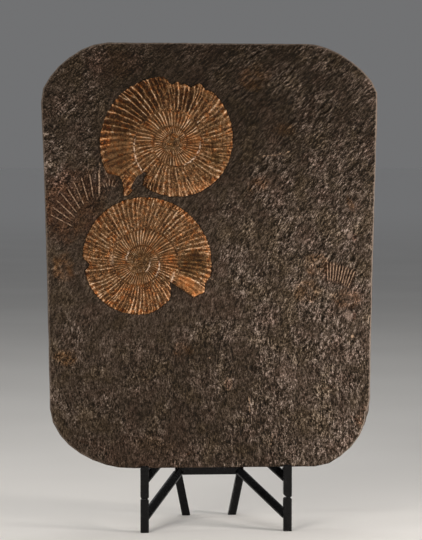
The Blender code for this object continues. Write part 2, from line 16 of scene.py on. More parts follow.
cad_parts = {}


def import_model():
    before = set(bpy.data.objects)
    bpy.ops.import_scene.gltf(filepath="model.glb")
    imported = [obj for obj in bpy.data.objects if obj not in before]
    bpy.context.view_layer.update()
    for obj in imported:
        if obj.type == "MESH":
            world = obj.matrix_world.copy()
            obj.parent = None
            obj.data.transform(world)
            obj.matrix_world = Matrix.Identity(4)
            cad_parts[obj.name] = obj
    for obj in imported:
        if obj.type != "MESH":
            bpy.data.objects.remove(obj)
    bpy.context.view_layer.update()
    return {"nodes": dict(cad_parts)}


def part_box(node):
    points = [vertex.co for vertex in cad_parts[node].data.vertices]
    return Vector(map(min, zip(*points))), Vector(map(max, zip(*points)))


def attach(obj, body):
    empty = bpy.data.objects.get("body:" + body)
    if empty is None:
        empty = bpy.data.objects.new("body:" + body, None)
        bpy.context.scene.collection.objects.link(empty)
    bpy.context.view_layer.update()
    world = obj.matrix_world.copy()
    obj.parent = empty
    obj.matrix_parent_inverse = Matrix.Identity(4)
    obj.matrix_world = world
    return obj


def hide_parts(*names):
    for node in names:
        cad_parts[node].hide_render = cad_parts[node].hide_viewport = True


MM = 0.001

# ---------------- the plate's driving dimensions
LEAN = 6.0  # the plate leans back
PLATE_FOOT = 46.0  # height of its lower front edge
THICKNESS = 12.0
STAND_X = 3.6  # the easel's middle, from the plate's
FOOT_FRONT = 4.0  # the easel's front, from the plate's lower front edge
EDGE_STEP = 10.0  # spacing of the points that give the outline its wobble
EDGE_WOBBLE = 0.5
FINE_STEP = 1.0  # spacing of the points round the finished outline
POCKET_DEPTH = 2.0
POCKET_GAP = 0.05  # between a shell and the shale round it
SHELL_DEPTH = 1.7  # how far a shell goes into its pocket
BACK_LEDGE = 1.4
CHIPPED_CORNER = (111.0, 36.0)
CHIP_REACH = 14.0
CHIP_DEPTH = 3.0
CHIP_DROP = 1.2  # how far the chip pushes the side's rings back

# Corner curves, counter-clockwise from the lower right: where the curve starts, where it ends,
# the sharp corner it rounds, and its pull towards that corner.
CORNERS = (
    ((75.0, 0.0), (115.5, 45.0), (115.5, 0.0), 0.46),
    ((123.7, 268.0), (73.0, 306.2), (124.0, 306.2), 0.39),
    ((-73.5, 306.8), (-120.8, 266.0), (-121.0, 307.0), 0.41),
    ((-115.1, 43.0), (-58.0, 0.0), (-115.0, 0.0), 0.5),
)
# Points that each corner curve is followed by, before the next corner starts.
SIDE_POINTS = (
    ((116.6, 90.0), (120.2, 188.0)),
    (),
    ((-118.4, 200.0), (-116.7, 128.0)),
    (),
)
# Rings down the plate's side: depth behind the face, how far it is set in, and how uneven that is.
SIDE_RINGS = (
    (0.0, 0.45, 0.3),
    (0.4, 0.12, 0.15),
    (1.4, 0.05, 0.1),
    (2.7, 0.1, 0.35),
    (2.9, 0.45, 0.4),
    (5.2, 0.35, 0.5),
    (5.5, 0.1, 0.3),
    (8.3, 0.2, 0.4),
    (8.6, 0.6, 0.55),
    (10.6, 0.1, 0.15),
    (11.5, 0.5, 0.3),
    (12.0, 1.3, 0.4),
)
LATTICE_ALONG = 1.45  # spacing of the surface's points along the shale's streaks
LATTICE_ACROSS = 0.62
LATTICE_ANGLE = 62.0
STREAK_FOOT = 60.0  # the shale's streaks stand upright below here, and lean to the right above
STREAK_LEAN = 0.00225
BACK_LATTICE = 3.2
ROW_SHARE = 0.87  # how far apart an even lattice's rows are, as a share of the points' spacing
RIM_GAP = 0.55  # least distance from the face's inner points to the outline
SHELL_GAP = 0.45  # and to a shell's pocket
BACK_GAP = 1.6  # and from the back's inner points to the outline
FAN_MARGIN = 2.0  # how far the closer lattice reaches past a fan's ribs
FLAT_RIM = 6.0  # the relief fades in over this distance from the outline
FLAT_SEAM = 3.0  # and over this from a shell
EDGE_HIGHLIGHT_WIDTH = 0.7  # of the painted highlight along the plate's edge


# ---------------- what is drawn on the shale
@dataclass
class Fan:
    """Ribs left in the shale by a shell. Each pair is for the first and the last rib."""

    centre: tuple
    first_angle: float
    angle_step: float
    inner: tuple  # radius of the ribs' inner ends
    outer: tuple  # radius of their outer ends
    count: int
    width: float  # of a rib's crest
    rise: float
    sink: float  # depth of the grooves between the ribs
    pale: float  # how pale the crests are
    lattice: float  # spacing of the surface's points round it


FANS = (
    Fan((-78.7, 163.0), 91.0, 7.6, (32.0, 22.5), (51.0, 41.0), 9, 0.4, 0.8, 0.6, 1.4, 0.48),
    Fan((85.4, 93.9), 90.0, -2.54, (39.3, 37.3), (54.2, 51.0), 10, 0.4, 0.9, 0.6, 1.5, 0.45),
    Fan((-71.6, 196.0), 122.0, -15.0, (6.2, 6.2), (11.6, 11.6), 5, 0.42, 0.45, 0.4, 1.0, 0.5),
    Fan((-93.0, 257.0), 112.0, -16.0, (5.0, 5.0), (12.5, 12.0), 4, 0.45, 0.4, 0.25, 0.4, 0.55),
    Fan((-113.0, 245.0), 122.0, -12.0, (7.0, 7.0), (15.0, 14.0), 5, 0.35, 0.5, 0.5, 0.45, 0.5),
    Fan((-54.3, 289.0), 104.0, -12.0, (7.0, 7.0), (13.0, 13.0), 4, 0.45, 0.3, 0.15, 0.3, 0.55),
    Fan((47.0, 228.0), 108.0, -13.0, (5.0, 5.0), (12.0, 12.0), 5, 0.45, 0.3, 0.15, 0.3, 0.55),
    Fan((24.0, 188.0), 66.0, -9.0, (6.0, 6.0), (10.5, 10.5), 4, 0.35, 0.3, 0.1, 0.5, 0.5),
    Fan((-60.0, 58.0), 42.0, -9.0, (12.5, 12.5), (17.5, 17.5), 4, 0.45, 0.45, 0.2, 0.45, 0.5),
    Fan((-104.0, 24.5), 5.0, -4.4, (38.0, 38.0), (46.5, 46.5), 4, 0.5, 0.35, 0.2, 0.25, 0.55),
)


@dataclass
class Vein:
    """A fine raised line on the shale."""

    start: tuple
    end: tuple
    width: float
    rise: float
    pale: float


VEINS = (
    Vein((-78.9, 195.4), (-78.7, 219.9), 0.36, 0.35, 1.15),
    Vein((-76.1, 217.3), (-72.8, 208.6), 0.4, 0.4, 0.95),
    Vein((27.4, 52.5), (28.2, 38.6), 0.45, 0.75, 1.1),
    Vein((44.6, 24.5), (42.6, 12.5), 0.5, 0.6, 0.8),
    Vein((79.0, 55.5), (91.0, 57.5), 0.4, -0.6, -0.8),
    Vein((100.8, 36.8), (112.8, 27.5), 0.45, -0.7, -0.9),
    Vein((64.2, 186.5), (66.6, 182.0), 0.35, 0.4, 0.6),
    Vein((66.6, 182.0), (64.2, 177.4), 0.35, 0.4, 0.6),
    Vein((38.6, 224.0), (50.0, 225.0), 0.5, 0.4, 0.85),
    Vein((50.0, 225.0), (59.0, 227.6), 0.45, 0.35, 0.8),
    Vein((-15.3, 74.5), (-15.4, 68.4), 0.45, 0.35, 0.5),
    Vein((-97.2, 20.6), (-83.0, 16.9), 0.5, -0.5, -0.6),
    Vein((-2.0, 137.0), (5.5, 133.5), 0.4, 0.35, 0.6),
    Vein((12.9, 65.0), (9.4, 59.1), 0.5, 0.4, 0.75),
    Vein((9.4, 59.1), (12.9, 54.8), 0.5, 0.4, 0.75),
    Vein((12.9, 54.8), (15.8, 60.0), 0.55, 0.4, 0.75),
    Vein((15.8, 60.0), (14.2, 65.0), 0.5, 0.4, 0.7),
)


@dataclass
class Patch:
    """A soft-edged oval on the plate that one of the masks is raised in."""

    mask: str
    centre: tuple
    reach: tuple  # half length and half width
    strength: float = 1.0
    tilt: float = 0.0
    soft: float = 0.5  # width of the soft edge, as a share of the oval


SHALE_PATCHES = (
    Patch("rust", (-105.3, 143.7), (7.5, 10.0), 0.75),
    Patch("rust", (-103.5, 79.5), (8.0, 6.0), 0.6),
    Patch("rust", (-20.3, 84.4), (7.0, 4.5), 0.45),
    Patch("rust", (34.0, 281.0), (11.0, 9.0), 0.5, 20.0),
    Patch("rust", (55.5, 243.2), (8.0, 5.0), 0.4),
    Patch("rust", (35.5, 203.2), (8.0, 5.0), 0.45, 20.0),
    Patch("rust", (78.0, 145.0), (9.0, 9.0), 0.45),
    Patch("rust", (70.0, 126.0), (9.0, 8.0), 0.35),
    Patch("rust", (99.0, 121.0), (10.0, 7.0), 0.35),
    Patch("rust", (-69.2, 208.4), (6.0, 6.0), 0.35),
    Patch("rust", (-16.5, 9.9), (1.2, 1.0), 1.0, 0.0, 0.3),
    Patch("stain", (-99.0, 191.0), (23.0, 27.0), 0.5, -35.0),
    Patch("rust", (-100.0, 187.0), (20.0, 24.0), 0.38, -35.0, 0.8),
    Patch("stain", (-67.3, 290.9), (20.0, 10.0), 0.45),
    Patch("stain", (-45.0, 12.0), (34.0, 12.0), 0.3),
    Patch("rust", (102.5, 189.0), (2.0, 6.0), 0.6, 25.0),
    Patch("rust", (110.0, 36.5), (4.0, 9.0), 0.25, -35.0),
    Patch("stain", (12.7, 60.0), (2.6, 4.2), 0.6),
    Patch("chip", (100.3, 108.6), (2.3, 3.6), 0.75, 10.0),
    # Dark beside this chip, on its right: painted shadow.
    Patch("stain", (104.2, 107.6), (1.5, 3.4), 0.8, -15.0, 0.4),
    Patch("chip", (102.0, 166.8), (1.6, 2.9), 0.75, -25.0),
    # Dark beside this chip, on its right: painted shadow.
    Patch("stain", (105.2, 164.6), (1.6, 2.6), 0.7, -20.0, 0.4),
    Patch("pale", (-0.5, 78.6), (0.9, 0.9), 1.0, 0.0, 0.3),
    Patch("pale", (103.0, 93.8), (1.3, 1.3), 1.2, 0.0, 0.3),
    Patch("shade", (-12.0, 48.0), (60.0, 46.0), 1.0, 0.0, 0.9),
    Patch("shade", (35.0, 275.0), (60.0, 30.0), 0.6, 0.0, 0.9),
    Patch("shade", (15.0, 296.0), (70.0, 12.0), 1.0, 0.0, 0.9),
    Patch("shade", (90.0, 240.0), (42.0, 48.0), 0.6, 0.0, 0.9),
    Patch("calm", (34.0, 246.0), (24.0, 26.0), 0.9, 0.0, 0.9),
    # Lighter patches on the right and lower right, where the raking light falls: painted light.
    Patch("painted_light", (79.0, 48.0), (38.0, 34.0), 0.55, 0.0, 0.9),
    Patch("painted_light", (96.0, 130.0), (30.0, 90.0), 0.5, 0.0, 0.9),
)


# ---------------- the ammonites
@dataclass
class Ammonite:
    """A coiled shell seen from its side."""

    name: str
    centre: tuple
    end_angle: float  # where the outer whorl ends
    growth: int  # +1 coils out counter-clockwise, -1 clockwise
    edge: tuple  # outer radius every EDGE_ANGLE_STEP, from the end back through one turn
    seam: float  # radius of the outer whorl's inner seam at its end
    seam_ratio: float  # what the seam's radius is multiplied by in each turn inwards
    ribs: tuple  # ribs to a full turn at the end, and after each turn inwards
    bites: tuple  # chips out of the edge: degrees back from the end, half width in degrees, depth
    forked: float  # share of the ribs that split in two towards the edge
    pale_seams: tuple  # stretches of pale seam, in degrees back from the end
    rim_rust: float
    patches: tuple
    seed: int


EDGE_ANGLE_STEP = 45.0
UPPER = Ammonite(
    name="upper_shell",
    centre=(-26.0, 233.5),
    end_angle=229.0,
    growth=1,
    edge=(52.3, 52.6, 51.6, 48.7, 46.9, 43.5, 41.3, 38.7, 37.2),
    seam=30.3,
    seam_ratio=0.508,
    ribs=(66.0, 54.0, 44.0, 39.0, 36.0),
    bites=(
        (0.0, 2.0, 2.0),
        (8.5, 8.0, 4.8),
        (16.5, 9.0, 7.2),
        (138.5, 8.0, 6.2),
        (148.0, 8.0, 5.0),
        (156.5, 7.5, 5.2),
        (171.0, 6.0, 1.6),
        (360.0, 6.0, 7.0),
    ),
    forked=0.45,
    pale_seams=((0.0, 62.0), (222.0, 300.0)),
    rim_rust=0.45,
    patches=(
        Patch("bare", (-54.0, 261.0), (30.0, 13.0), 1.0, 40.0),
        Patch("bare", (-17.0, 265.0), (13.0, 8.0), 0.7, -10.0),
        Patch("bare", (-44.0, 201.0), (9.0, 3.5), 0.8),
        Patch("gone", (-51.0, 205.8), (7.5, 2.8), 1.0, 52.0, 0.3),
        Patch("worn", (-65.5, 224.5), (9.0, 17.0), 1.0, -8.0),
        Patch("worn", (-57.0, 213.5), (13.0, 5.0), 0.6, -25.0),
        Patch("rust", (-75.5, 237.3), (5.0, 10.0), 1.0, 8.0),
        Patch("rust", (-13.0, 199.6), (24.0, 4.5), 0.3, 10.0),
        Patch("light", (-8.0, 200.5), (24.0, 4.5), 0.3, 14.0),
        Patch("light", (-53.5, 212.0), (6.0, 1.5), 0.7, -52.0, 0.6),
        Patch("rust", (-58.4, 202.5), (6.0, 8.0), 1.0, 30.0),
        Patch("rust", (-12.0, 232.0), (8.0, 8.0), 0.6),
        # A thin pale line on the right rim: painted highlight.
        Patch("pale", (18.6, 236.0), (0.8, 5.0), 0.55),
        Patch("dark", (5.0, 222.8), (5.0, 4.0), 0.7, 30.0),
        Patch("dark", (13.0, 238.0), (15.0, 26.0), 0.25, 0.0, 0.9),
        Patch("dark", (-26.0, 233.5), (6.5, 6.5), 0.45, 0.0, 0.8),
        Patch("plain", (6.0, 228.0), (17.0, 22.0), 0.5, 0.0, 0.9),
        Patch("plain", (-12.0, 205.0), (30.0, 12.0), 0.5, 15.0, 0.9),
    ),
    seed=3,
)
LOWER = Ammonite(
    name="lower_shell",
    centre=(-50.1, 147.6),
    end_angle=327.0,
    growth=-1,
    edge=(52.2, 51.2, 48.6, 45.9, 42.9, 40.1, 38.5, 37.3, 31.5),
    seam=29.3,
    seam_ratio=0.495,
    ribs=(76.0, 64.0, 50.0, 42.0, 38.0),
    bites=((0.0, 10.0, 5.5), (14.0, 9.0, 2.5), (215.5, 8.5, 4.3), (360.0, 20.0, 5.7)),
    forked=0.35,
    pale_seams=((345.0, 400.0), (525.0, 570.0), (685.0, 762.0)),
    rim_rust=0.75,
    patches=(
        Patch("worn", (-64.0, 146.4), (4.0, 8.0), 0.35),
        Patch("pale", (-70.5, 149.5), (2.2, 7.0), 0.3, 0.0, 0.9),
        Patch("light", (-81.5, 125.5), (15.0, 2.4), 0.9, -55.0, 0.6),
        Patch("dark", (-12.7, 146.0), (11.5, 9.0), 0.55, 10.0),
        Patch("worn", (-12.7, 146.0), (11.0, 9.0), 0.6, 10.0),
        Patch("light", (-14.5, 130.8), (15.0, 4.8), 1.0, -38.0, 0.4),
        Patch("rust", (-14.5, 130.8), (14.5, 4.6), 0.75, -38.0, 0.3),
        Patch("worn", (-14.5, 130.8), (14.0, 4.2), 0.8, -38.0, 0.3),
        Patch("pale", (-27.0, 135.8), (5.0, 0.8), 0.75, 72.0, 0.6),
        Patch("light", (-27.0, 135.8), (5.5, 1.4), 0.7, 72.0, 0.6),
        Patch("rust", (-28.5, 146.0), (5.5, 9.0), 0.45),
        Patch("rust", (-43.0, 124.0), (24.0, 9.0), 0.35),
        Patch("dark", (-50.1, 147.6), (7.5, 8.5), 0.5, 0.0, 0.8),
        Patch("plain", (-88.0, 155.0), (14.0, 26.0), 0.5, 0.0, 0.9),
        Patch("plain", (-48.0, 184.0), (22.0, 10.0), 0.5, 0.0, 0.9),
    ),
    seed=8,
)
AMMONITES = (UPPER, LOWER)

SHELL_EDGE_HEIGHT = 0.5
SEAM_HEIGHT = 2.0  # of the seam at the outer whorl's end
SEAM_HEIGHT_RATIO = 0.6  # in each turn inwards
DOME_HEIGHT = 2.0
DOME_RATIO = 0.72
DOME_POWER = 3.0  # how flat the top of a whorl is
COVERED_EDGE = 36.2  # radius of the hidden edge, one turn back from the end
COVERED_RATIO = 0.508  # what it is multiplied by in each turn inwards
RIB_HEIGHT = 0.24  # as a share of the ribs' spacing
RIB_WIDTH = 0.3  # half width of a crest, as a share of the ribs' spacing
RIB_SWEEP = 0.55  # how many ribs forward a rib reaches at the edge
FORK_SPREAD = 0.25
# For each whorl from the outside in: points along a turn, and rows across.
WHORL_LATTICE = ((820, 54), (560, 32), (320, 18), (180, 10))
END_STEP = 0.5  # spacing of the points along the broken end
CORE_STEPS = 3
CORE_POINTS = 24  # round the outermost core ring, and CORE_FEWER less on each ring inwards
CORE_FEWER = 6
RIB_TABLE = 400  # more ribs than a shell has

# ---------------- the view and the lights
VIEW_CENTRE = (1.0, 141.8)  # the place on the plate that the picture is centred on
VIEW_DISTANCE = 1600.0
VIEW_TURN = 4.0  # the camera stands to the left of straight ahead
VIEW_RISE = 3.0
LENS = 148.15
SENSOR = 36.0
STEEL_CORNER = 0.35  # width of the steel's softened corners
# Name, place, width, height, power in W and colour of each soft light, aimed at the plate.
LIGHTS = (
    ("key_light", (-700.0, -1000.0, 500.0), 500.0, 500.0, 4.25, (1.0, 0.94, 0.87)),
    ("rake_light", (650.0, -340.0, 90.0), 160.0, 400.0, 5.2, (1.0, 0.93, 0.87)),
    ("fill_light", (500.0, -1500.0, 225.0), 700.0, 250.0, 2.15, (1.0, 0.94, 0.88)),
    ("left_light", (-1300.0, -200.0, 420.0), 200.0, 800.0, 2.25, (1.0, 0.95, 0.91)),
    ("top_light", (0.0, 300.0, 1800.0), 1200.0, 800.0, 10.0, (1.0, 0.98, 0.95)),
)
LIGHT_AIM = (0.0, 0.0, 190.0)
LIGHT_SPREAD = 120.0  # of all but the top light, so that less of them falls on the floor beside them
WORLD_COLOUR = (0.92, 0.93, 0.95)
WORLD_STRENGTH = 0.18
FLOOR_REACH = 40.0  # metres
FLOOR_SIDES = 64
FLOOR_NEAR = 1.0  # the floor grows as pale as the world between these distances, in metres
FLOOR_FAR = 9.0

# Colours from the darkest to the palest, at even steps.
SHALE_TONES = (
    (0.005, 0.0032, 0.0018),
    (0.0165, 0.0108, 0.0067),
    (0.045, 0.0318, 0.0225),
    (0.102, 0.078, 0.0625),
    (0.235, 0.187, 0.16),
)
SHELL_TONES = (
    (0.012, 0.0045, 0.0012),
    (0.032, 0.013, 0.0038),
    (0.08, 0.038, 0.0135),
    (0.165, 0.088, 0.04),
    (0.29, 0.182, 0.108),
    (0.47, 0.34, 0.24),
)
# Tones, as shares of the way from the darkest colour to the palest.
SHALE_TONE = 0.305
SIDE_TONE = 0.26
BACK_TONE = 0.33
SHELL_TONE = 0.36
FAN_CREST_TONE = 0.22  # added on a fan's ribs
FAN_GROOVE_TONE = 0.11  # taken off between them
# Strengths of masks.
FAN_STAIN = 0.65
# How pale the plate's side is, as painted highlight.
SIDE_HIGHLIGHT = 0.3
BACK_ROUGHNESS = 0.7


# ---------------- numbers
def unit(value):
    """A value held between 0 and 1."""
    return np.clip(value, 0.0, 1.0)


def smooth_step(value):
    """0 below 0, 1 above 1, and a smooth rise between."""
    value = unit(value)
    return value * value * (3.0 - 2.0 * value)


def noise_at(x, y, layer):
    """Smooth noise from about -1 to 1 over arrays of places. Each layer is a noise of its own."""
    x, y = np.broadcast_arrays(x, y)
    places = zip(x.ravel().tolist(), y.ravel().tolist())
    values = [noise.noise((a, b, layer)) for a, b in places]
    return np.array(values).reshape(x.shape)


def speckle(x, y, size, layer):
    """The same noise, with features of a size."""
    return noise_at(x / size, y / size, layer)


def streaked(u, v):
    """How far the shale's streaks show: not at all at the upper left."""
    return 1.0 - smooth_step((v - 110.0) / 70.0) * smooth_step((15.0 - u) / 70.0)


def streaks(u, v, along, across, layer):
    """Noise drawn out along the shale's streaks."""
    lean = STREAK_LEAN * np.maximum(v - STREAK_FOOT, 0.0) ** 2
    drawn_out = noise_at((u - lean) / across, v / along, layer)
    size = 1.2 * across
    even = speckle(u, v, size, layer + 100.0)
    return even + (drawn_out - even) * streaked(u, v)


def polar(centre, angle, radius):
    """Places at radii and angles from a centre."""
    turn = np.radians(angle)
    return np.stack((centre[0] + radius * np.cos(turn), centre[1] + radius * np.sin(turn)), axis=-1)


def distance(u, v, centre):
    """Distance of places from a centre."""
    return np.hypot(u - centre[0], v - centre[1])


def distance_to_points(places, points):
    """Distance from each place to the nearest of some points."""
    best = np.full(len(places), np.inf)
    for x, y in points:
        best = np.minimum(best, (places[:, 0] - x) ** 2 + (places[:, 1] - y) ** 2)
    return np.sqrt(best)


def is_inside(places, loop):
    """Whether each place lies inside a closed loop."""
    x, y = places[:, 0], places[:, 1]
    inside = np.zeros(len(places), bool)
    for (x0, y0), (x1, y1) in zip(loop, np.roll(loop, -1, axis=0)):
        if y0 == y1:
            continue
        crosses = (y0 > y) != (y1 > y)
        inside ^= crosses & (x < x0 + (y - y0) * (x1 - x0) / (y1 - y0))
    return inside


def resample(path, spacing):
    """Points at even distances along a closed path."""
    closed = np.vstack((path, path[:1]))
    lengths = np.hypot(*np.diff(closed, axis=0).T)
    travelled = np.concatenate(((0.0,), np.cumsum(lengths)))
    count = round(travelled[-1] / spacing)
    wanted = travelled[-1] * np.arange(count) / count
    return np.stack([np.interp(wanted, travelled, closed[:, axis]) for axis in (0, 1)], axis=-1)


def outward(loop):
    """The outward direction at each point of a counter-clockwise loop."""
    along = np.roll(loop, -1, axis=0) - np.roll(loop, 1, axis=0)
    along /= np.hypot(along[:, 0], along[:, 1])[:, None]
    return np.stack((along[:, 1], -along[:, 0]), axis=-1)


def raise_mask(masks, name, value, where=...):
    """Raises a mask to a value, in the places where it is lower."""
    masks[name][where] = np.maximum(masks[name][where], value)


def patch_masks(u, v, patches, names):
    """The strength of each named mask over arrays of places, with ragged borders."""
    ragged = 0.3 * speckle(u, v, 5.0, 41.0) + 0.18 * speckle(u, v, 1.7, 42.0)
    masks = {name: np.zeros_like(u) for name in names}
    for patch in patches:
        turn = math.radians(patch.tilt)
        x, y = u - patch.centre[0], v - patch.centre[1]
        along = (x * math.cos(turn) + y * math.sin(turn)) / patch.reach[0]
        across = (y * math.cos(turn) - x * math.sin(turn)) / patch.reach[1]
        away = np.hypot(along, across)
        away = away + ragged * np.minimum(away, 1.0)
        value = patch.strength * smooth_step((1.0 - away) / patch.soft + 0.5)
        raise_mask(masks, patch.mask, value)
    return masks


# ---------------- building meshes
@dataclass
class Solid:
    """The points and faces of one closed mesh, and the masks that its material reads."""

    points: list = field(default_factory=list)  # arrays of (u, behind the face, v)
    faces: list = field(default_factory=list)
    masks: dict = field(default_factory=dict)  # name: [(first point, values)]
    count: int = 0

    def add_points(self, places, behind, **masks):
        """Adds points and returns their numbers."""
        behind = np.broadcast_to(behind, len(places))
        self.points.append(np.stack((places[:, 0], behind, places[:, 1]), axis=-1))
        for name, values in masks.items():
            self.masks.setdefault(name, []).append((self.count, values))
        numbers = np.arange(self.count, self.count + len(places))
        self.count += len(places)
        return numbers

    def add_faces(self, faces):
        self.faces.extend(faces.tolist())

    def add_wall(self, first, second):
        """A band of quads between two closed rings of points."""
        self.add_faces(np.stack((first, np.roll(first, -1), np.roll(second, -1), second), axis=-1))

    def make(self, name, material, node):
        """The finished piece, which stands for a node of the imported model."""
        place = plate_matrix()
        points = np.vstack(self.points) @ np.array(place.to_3x3()).T + np.array(place.translation)
        mesh = bpy.data.meshes.new(name)
        mesh.from_pydata(points.tolist(), [], self.faces)
        for mask, parts in self.masks.items():
            values = np.zeros(self.count)
            for first, part in parts:
                values[first : first + len(part)] = part
            layer = mesh.attributes.new(mask, "FLOAT", "POINT")
            layer.data.foreach_set("value", values)
        bm = bmesh.new()
        bm.from_mesh(mesh)
        bmesh.ops.recalc_face_normals(bm, faces=bm.faces)
        bm.to_mesh(mesh)
        bm.free()
        mesh.shade_smooth()
        mesh.materials.append(material)
        piece = bpy.data.objects.new(name, mesh)
        bpy.context.collection.objects.link(piece)
        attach(piece, "root")
        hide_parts(node)
        return piece


def plate_matrix():
    """Takes (u, behind the face, v) in mm to the row frame in metres."""
    left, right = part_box("left_foot"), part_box("right_foot")
    across = (left[0][0] + right[1][0]) / 2 - STAND_X * MM
    forward = left[0][1] + FOOT_FRONT * MM
    foot = Matrix.Translation((across, forward, PLATE_FOOT * MM))
    return foot @ Matrix.Rotation(-math.radians(LEAN), 4, "X") @ Matrix.Scale(MM, 4)


def triangulate(places, loops, lines=()):
    """Joins places into triangles inside the first loop. Loops and lines are numbers of places."""
    edges = []
    for loop in loops:
        edges.extend(zip(loop.tolist(), np.roll(loop, -1).tolist()))
    for line in lines:
        edges.extend(zip(line[:-1].tolist(), line[1:].tolist()))
    flat = [Vector(place) for place in places.tolist()]
    _, _, faces, sources, _, _ = delaunay_2d_cdt(flat, edges, [loops[0].tolist()], 1, 1.0e-5)
    origin = np.array([source[0] for source in sources])
    return origin[np.array(faces)]


def lattice(low, high, along, across, angle=0.0):
    """Places of an uneven lattice over a box, drawn out along an angle."""
    middle = (np.array(low) + np.array(high)) / 2
    reach = math.dist(low, high) / 2
    columns, rows = round(reach / along) + 1, round(reach / across) + 1
    column, row = np.meshgrid(np.arange(-columns, columns + 1), np.arange(-rows, rows + 1))
    shift = np.random.default_rng(5).uniform(-0.22, 0.22, (2, *column.shape))
    x = (column + 0.5 * (row % 2) + shift[0]) * along
    y = (row + shift[1]) * across
    turn = math.radians(angle)
    u = middle[0] + x * math.cos(turn) - y * math.sin(turn)
    v = middle[1] + x * math.sin(turn) + y * math.cos(turn)
    places = np.stack((u.ravel(), v.ravel()), axis=-1)
    return places[np.all((places > low) & (places < high), axis=1)]


# ---------------- the plate
def plate_outline():
    """The plate's outline, counter-clockwise, with a slight natural wobble."""
    path = []
    for (start, end, corner, pull), side in zip(CORNERS, SIDE_POINTS):
        knots = [Vector((*start, 0.0)), Vector((*end, 0.0))]
        sharp = Vector((*corner, 0.0))
        handles = [knot.lerp(sharp, pull) for knot in knots]
        curve = interpolate_bezier(knots[0], handles[0], handles[1], knots[1], 12)
        path.extend((point.x, point.y) for point in curve)
        path.extend(side)
    coarse = resample(np.array(path), EDGE_STEP)
    x, y = coarse.T
    amount = EDGE_WOBBLE * smooth_step(y / 8.0)
    shift = np.abs(speckle(x, y, 17.0, 0.0))
    lift = np.abs(speckle(x, y, 17.0, 0.5 / 17.0 / MM))
    wobbled = np.stack((x - np.copysign(amount * shift, x), y - amount * lift), axis=-1)
    return resample(wobbled, FINE_STEP)


def fan_ribs(fan):
    """Each rib of a fan as its two ends."""
    share = np.arange(fan.count) / (fan.count - 1)
    angles = fan.first_angle + fan.angle_step * np.arange(fan.count)
    inner = fan.inner[0] + (fan.inner[1] - fan.inner[0]) * share
    outer = fan.outer[0] + (fan.outer[1] - fan.outer[0]) * share
    return zip(polar(fan.centre, angles, inner), polar(fan.centre, angles, outer))


def fan_disc(fan):
    """Middle and radius of a disc round a fan."""
    ends = np.array([end for rib in fan_ribs(fan) for end in rib])
    middle = ends.mean(axis=0)
    return middle, distance(*ends.T, middle).max() + FAN_MARGIN


def line_profile(u, v, start, end, width):
    """1 on a line between two places, and 0 well away from it."""
    start, end = np.array(start), np.array(end)
    length = math.dist(start, end)
    along = (end - start) / length
    x, y = u - start[0], v - start[1]
    place = (x * along[0] + y * along[1]) / length
    away = np.abs(y * along[0] - x * along[1]) / width
    taper = smooth_step(place / 0.22 + 0.35) * smooth_step((1.0 - place) / 0.22 + 0.35)
    return np.exp(-(away**2)) * taper


def shale_relief(u, v):
    """The large shapes of the split shale: rough on the right and calm round the shells."""
    roughness = 0.35 + 0.65 * smooth_step((u + 20.0) / 80.0)
    for shell in AMMONITES:
        away = distance(u, v, shell.centre)
        roughness *= smooth_step((away - 48.0) / 26.0)
    along = u * 0.5 + v * 0.866
    across = u * 0.866 - v * 0.5
    long_waves = noise_at(along / 34.0, across / 15.0, 3.7)
    lumps = speckle(u, v, 22.0, 9.1)
    return (1.1 * long_waves + 0.7 * lumps) * roughness


